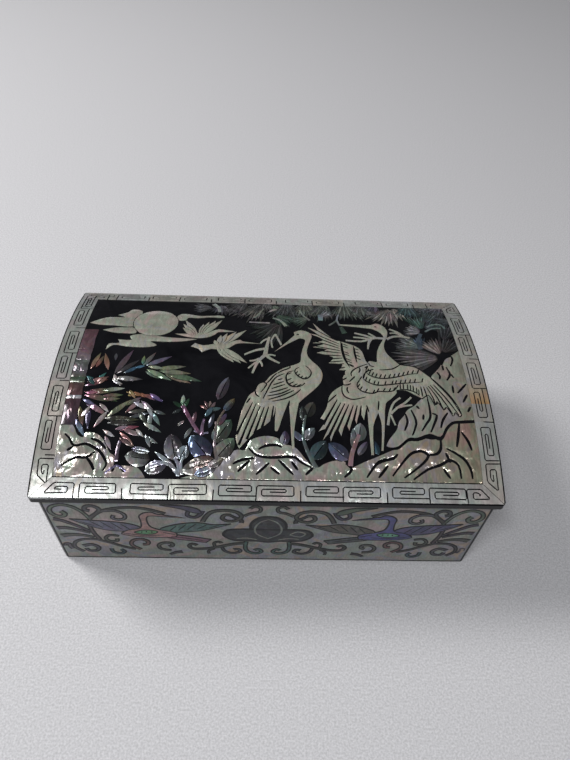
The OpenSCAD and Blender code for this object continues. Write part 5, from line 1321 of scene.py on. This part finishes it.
def fibrous(name, fibre_size, low, high, rough, relief):
    """A matt surface in two near tones, each with its level of the grain, which also stands in relief."""
    paint = Paint(name)
    fibre = paint.noise(*fibre_size)
    tones = paint.ramp(fibre, low, high)
    return paint.set(Base_Color=tones, Roughness=rough, Normal=paint.bump(fibre, relief))


def card_board():
    return fibrous("board", (1.2, 4, 0.7, 0.5, (0.3, 1, 1)), (0.3, rgb("6b5a48")), (0.7, rgb("8a7660")),
                   0.9, 0.03)


def pale_floor():
    return fibrous("floor", (0.8, 2, 0.6), (0.32, rgb("b9b8bb")), (0.68, rgb("d6d5d8")), 0.7, 0.05)


LACQUER = lacquer()
VELVET = velvet("velvet", "5e1020", "8a1c30")
ROLL_VELVET = velvet("ring_roll_velvet", "5a0f1e", "82192c")
BRASS = brass()
CRANE_SHELL = nacre("crane_shell", None, PEARL_HUES, 8, 0.7, 3.0, 0.025, wave=0.6, contrast=0.1)
ROCK_SHELL = nacre("rock_shell", None, ROCK_HUES, 9, 0.6, 3.4, 0.04, (0.14, 0.26), 0.5, wave=1.4,
                   contrast=0.16)
ABALONE = nacre("abalone", None, ABALONE_HUES, 4, 0.4, 2.2, 0.08, (0.14, 0.26), 0.5, 0.85, 1.3, 0.66)
PINE_SHELL = nacre("pine_shell", None, ABALONE_HUES, 6, 0.35, 2.2, 0.08, (0.2, 0.34), 0.4, 0.65, 0.6, 0.58)
BORDER_SHELL = nacre("border_shell", None, PEARL_HUES, 12, 0.35, 5.0, 0.03, (0.17, 0.28), wave=0.25,
                     contrast=0.16)
SIDE_SHEET = nacre("side_sheet", rgb("8c8a87"), SIDE_HUES, 11, 0.9, 5.0, 0.03, (0.3, 0.45), 0.2, wave=0.1,
                   contrast=0.18, coat=0.0, ior=1.38)
SCROLL_SHELL = nacre("scroll_shell", None, ABALONE_HUES, 6, 0.4, 2.4, 0.05, (0.3, 0.45), 0.2, wave=0.1,
                     coat=0.0, ior=1.38)


# ---- dress the CAD nodes that stay ----

def finish_node(material, names):
    for name in names.split():
        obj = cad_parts[name]
        if not obj.material_slots:
            obj.data.materials.append(material)
        for slot in obj.material_slots:
            slot.material = material


finish_node(LACQUER, """front_wall back_wall left_wall right_wall base_bottom lid_board
                        lid_front_rail lid_back_rail lid_left_gable lid_right_gable""")
finish_node(felt(), "base_felt")
finish_node(SIDE_SHEET, """front_veneer back_veneer left_veneer right_veneer
                           left_gable_veneer right_gable_veneer""")
finish_node(BRASS, """left_base_leaf right_base_leaf left_hinge_pin right_hinge_pin base_hinge_screws
                      left_lid_leaf right_lid_leaf lid_hinge_screws""")
finish_node(card_board(), "lid_backing")


# ---- the inlay pieces ----

def link(name, data):
    obj = bpy.data.objects.new(name, data)
    bpy.context.scene.collection.objects.link(obj)
    return obj


def add_piece(name, mesh, material, body, slot, node):
    """A new piece in place of a CAD node."""
    mesh.materials.append(material)
    obj = link(name, mesh)
    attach(obj, body)
    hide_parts(node)
    return obj


def shell_look(node):
    """The material and the record's slot of a piece of the lid's inlay."""
    if node.startswith("border"):
        return BORDER_SHELL, "pearl_sheet"
    if node == "pine_boughs":
        return PINE_SHELL, "abalone_inlay"
    if node in ("bamboo", "shore_plants"):
        return ABALONE, "abalone_inlay"
    return ROCK_SHELL if "rock" in node else CRANE_SHELL, "pearl_inlay"


lid_layers = picture_layers() + border_layers()
for node, mesh in inlay_meshes(lid_layers, on_vault, vault_normal, SHEET, row_reach=outer_v).items():
    material, slot = shell_look(node)
    add_piece(node + "_shell", mesh, material, "lid", slot, node)


SCROLL_SHEET = 0.12
# The back's scrolls are fitted to a height this far above its veneer.
BACK_OVER = 0.8
# The width of the dark lines at the bottom and the ends of a face, and at its top, where the line is partly
# painted shade under the lid's overhang.
FACE_LINE = 0.45
TOP_LINE_AND_SHADE = 1.1
# Each face's way out of the box.
SIDE_FACES = {"front": (0, -1, 0), "back": (0, 1, 0), "left": (-1, 0, 0), "right": (1, 0, 0)}
frame_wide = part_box("right_veneer")[1].x / MM
frame_deep = (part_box("back_veneer")[1].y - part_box("front_veneer")[0].y) / 2 / MM
wall_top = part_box("front_wall")[1].z / MM


def edge_lines(node, half, low_z, high_z):
    """The dark lines along the bottom, the top and the two ends of a face; the wider one at the top is partly
    painted shade under the lid's overhang.
    """
    spans = ((-half, low_z, half, low_z + FACE_LINE), (-half, high_z - TOP_LINE_AND_SHADE, half, high_z),
             (-half, low_z, FACE_LINE - half, high_z), (half - FACE_LINE, low_z, half, high_z))
    return [layer(node, [Vector(p) for p in ((x0, z0), (x1, z0), (x1, z1), (x0, z1))], DARK)
            for x0, z0, x1, z1 in spans]


def scroll_face(side, out):
    """The scrolls of one face, laid on its pearl sheet."""
    node = side + "_scrolls"
    across = Vector((-out.y, out.x, 0))
    low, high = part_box(side + "_veneer")
    face = (low + high) / 2 + out * abs((high - low).dot(out)) / 2
    if out.x == 0:
        k = min(frame_wide / SCROLL_X, wall_top / SCROLL_H)
        top = (high.z + BACK_OVER * MM) / MM if side == "back" else wall_top
        layers = face_layers(node, k, min(k, top / SCROLL_H), FRONT_RIBBONS, SIDE_CRANE, SIDE_FEATHERS)
    else:
        k = min(frame_deep / END_X, wall_top / SCROLL_H)
        curls = [(curl(*form), 1.4, 1.6, colour) for *form, colour in END_CURLS]
        layers = face_layers(node, k, k, END_RIBBONS + curls, END_LEAVES, END_VEINS)
    layers += edge_lines(node, abs((high - low).dot(across)) / 2 / MM, low.z / MM, high.z / MM)

    def place(x, z, h):
        return Vector((face.x, face.y, 0)) + across * x * MM + out * h * MM + Vector((0, 0, z * MM))

    return inlay_meshes(layers, place, lambda x, z: out, SCROLL_SHEET)[node]


for side, way in SIDE_FACES.items():
    node = side + "_scrolls"
    mesh = scroll_face(side, Vector(way))
    add_piece(node + "_shell", mesh, SCROLL_SHELL, "base", "abalone_scrolls", node)


# ---- soft parts ----

# The dents of a padded face: how many there are to a millimetre, and their mean depth in wrinkles.
DENT_RATE = 0.09
DENT_DEPTH = 0.6


def cloth_block(node, radius, cell, wrinkle, stretch=(1, 1, 1), seed=0.0):
    """Padding in a node's place: a fine box with its edges rounded over and slightly uneven faces."""
    low, high = corners(node)
    size = high - low
    counts = [max(2, round(extent / cell)) for extent in size]
    r = Vector(radius / s for s in stretch)
    verts, index, faces = [], {}, []

    def vertex(key):
        if key not in index:
            index[key] = len(verts)
            p = Vector(low[a] + size[a] * key[a] / counts[a] for a in range(3))
            core = Vector(min(max(p[a], low[a] + r[a]), high[a] - r[a]) for a in range(3))
            out = Vector((p[a] - core[a]) / r[a] for a in range(3))
            if out.length > 1:
                out.normalize()
            elif out.length > 0:
                out /= max(abs(c) for c in out)
            p = Vector(core[a] + out[a] * r[a] for a in range(3))
            dent = noise.noise(p * DENT_RATE + Vector((seed, 0, 0))) - DENT_DEPTH
            verts.append((p + (core - p).normalized() * -dent * wrinkle) * MM)
        return index[key]

    for axis in range(3):
        a, b = [k for k in range(3) if k != axis]
        for end in (0, counts[axis]):
            for i in range(counts[a]):
                for j in range(counts[b]):
                    quad = []
                    for di, dj in ((0, 0), (1, 0), (1, 1), (0, 1)):
                        key = {axis: end, a: i + di, b: j + dj}
                        quad.append(vertex((key[0], key[1], key[2])))
                    faces.append(quad if (end == 0) == (axis == 1) else quad[::-1])
    return mesh_of(node, verts, faces)


def add_velvet(node, mesh, slot="velvet", material=VELVET):
    return add_piece(node + "_velvet", mesh, material, "base", slot, node)


for i in range(1, 6):
    node = f"ring_roll_{i}"
    low, high = corners(node)
    mesh = cloth_block(node, (high.y - low.y) / 2 - 0.1, 1.5, 0.25, (1.7, 1, 1), i)
    add_velvet(node, mesh, "ring_roll_velvet", ROLL_VELVET)

add_velvet("floor_pad", cloth_block("floor_pad", 0.7, 2.5, 0.1))

for node in ("front_lining", "back_lining", "left_lining", "right_lining", "cross_divider", "long_divider"):
    low, high = corners(node)
    thick = min(high.x - low.x, high.y - low.y)
    add_velvet(node, cloth_block(node, 0.48 * thick, 2.0, 0.06))


def from_rings(rings):
    """The verts and faces through rings of four corners; a ring is (half width, half depth, height)."""
    verts = [Vector((x * wide, y * deep, z)) * MM for wide, deep, z in rings for x, y in CORNERS]
    faces = [[4 * k + c, 4 * k + (c + 1) % 4, 4 * k + (c + 1) % 4 + 4, 4 * k + c + 4]
             for k in range(len(rings) - 1) for c in range(4)]
    return verts, faces


# ---- inside the lid: a velvet frame round a bevelled mirror ----

GLASS_GAP = 0.3
BEVEL_W = 4.0
BEVEL_D = 0.7
velvet_low, velvet_high = corners("lid_velvet")
glass_low, glass_high = corners("mirror")


def velvet_frame():
    """The padded frame: its section goes from the inner edge to the outer one."""
    base_z, pad_z = velvet_high.z, velvet_low.z
    section = [(0, base_z), (0, pad_z + 0.5), (0.03, pad_z + 0.15), (0.09, pad_z), (0.93, pad_z),
               (0.98, pad_z + 0.15), (1, pad_z + 0.5), (1, base_z), (0, base_z)]
    hole = glass_high.xy + Vector((GLASS_GAP, GLASS_GAP))
    verts, faces = from_rings([(*(hole * (1 - t) + velvet_high.xy * t), z) for t, z in section])
    last = len(verts) - 4
    return mesh_of("lid_velvet", verts[:last], [[i % last for i in face] for face in faces], False)


def bevelled_glass():
    wide, deep = glass_high.xy
    verts, faces = from_rings([(wide, deep, glass_high.z), (wide, deep, glass_low.z + BEVEL_D),
                               (wide - BEVEL_W, deep - BEVEL_W, glass_low.z)])
    return mesh_of("mirror", verts, [[0, 1, 2, 3], [11, 10, 9, 8]] + [face[::-1] for face in faces], False)


add_piece("lid_velvet_pad", velvet_frame(), VELVET, "lid", "velvet", "lid_velvet")
add_piece("bevelled_mirror", bevelled_glass(), silvered_glass(), "lid", "mirror", "mirror")


# ---- floor, light and camera ----

FLOOR_HALF = 4.0
floor = mesh_of("floor", [(x * FLOOR_HALF, y * FLOOR_HALF, 0) for x, y in CORNERS], [(0, 1, 2, 3)], False)
floor.materials.append(pale_floor())
link("floor", floor)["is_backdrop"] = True


def area_light(name, place, target, size, power, colour=(1, 1, 1)):
    data = bpy.data.lights.new(name, "AREA")
    data.shape = "RECTANGLE"
    data.size, data.size_y = size
    data.energy = power
    data.color = colour
    obj = link(name, data)
    obj.location = place
    obj.rotation_euler = (Vector(target) - Vector(place)).to_track_quat("-Z", "Y").to_euler()


area_light("key", (-0.8, 0.35, 0.9), (0, 0, 0), (0.4, 0.4), 10.5, (1, 0.995, 0.98))
area_light("fill", (1.4, 0.1, 1.4), (0, 0, 0), (1.2, 1.2), 0.7, (0.97, 0.98, 1))
area_light("ceiling_lamp", (-0.42, -0.6, 1.4), (-0.05, 0, 0), (0.45, 0.15), 8.8, (0.96, 0.98, 1))
area_light("front_lamp", (0.34, -0.74, 1.4), (0.04, 0, 0), (0.3, 0.1), 4.0)

world = bpy.data.worlds.new("studio")
bpy.context.scene.world = world
world.use_nodes = True
background = world.node_tree.nodes["Background"]
background.inputs["Color"].default_value = (0.82, 0.83, 0.85, 1)
background.inputs["Strength"].default_value = 0.08

# The camera's angles, and its place in millimetres.
PITCH, YAW, ROLL = [math.radians(angle) for angle in (50.17, -3.52, 4.03)]
CAMERA_PLACE = (-4.73, -172.48, 267.2)
camera_data = bpy.data.cameras.new("camera")
camera_data.sensor_width = 36
camera_data.lens = 29.96
camera = link("camera", camera_data)
turn = Matrix.Rotation(YAW, 3, "Z")
ahead = turn @ Vector((0, math.cos(PITCH), -math.sin(PITCH)))
level = turn @ Vector((1, 0, 0))
upward = turn @ Vector((0, math.sin(PITCH), math.cos(PITCH)))
right = math.cos(ROLL) * level + math.sin(ROLL) * upward
up = -math.sin(ROLL) * level + math.cos(ROLL) * upward
pose = Matrix((right, up, -ahead)).transposed().to_4x4()
pose.translation = Vector(CAMERA_PLACE) * MM
camera.matrix_world = pose
bpy.context.scene.camera = camera
bpy.context.scene.view_settings.view_transform = "Standard"

low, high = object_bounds()
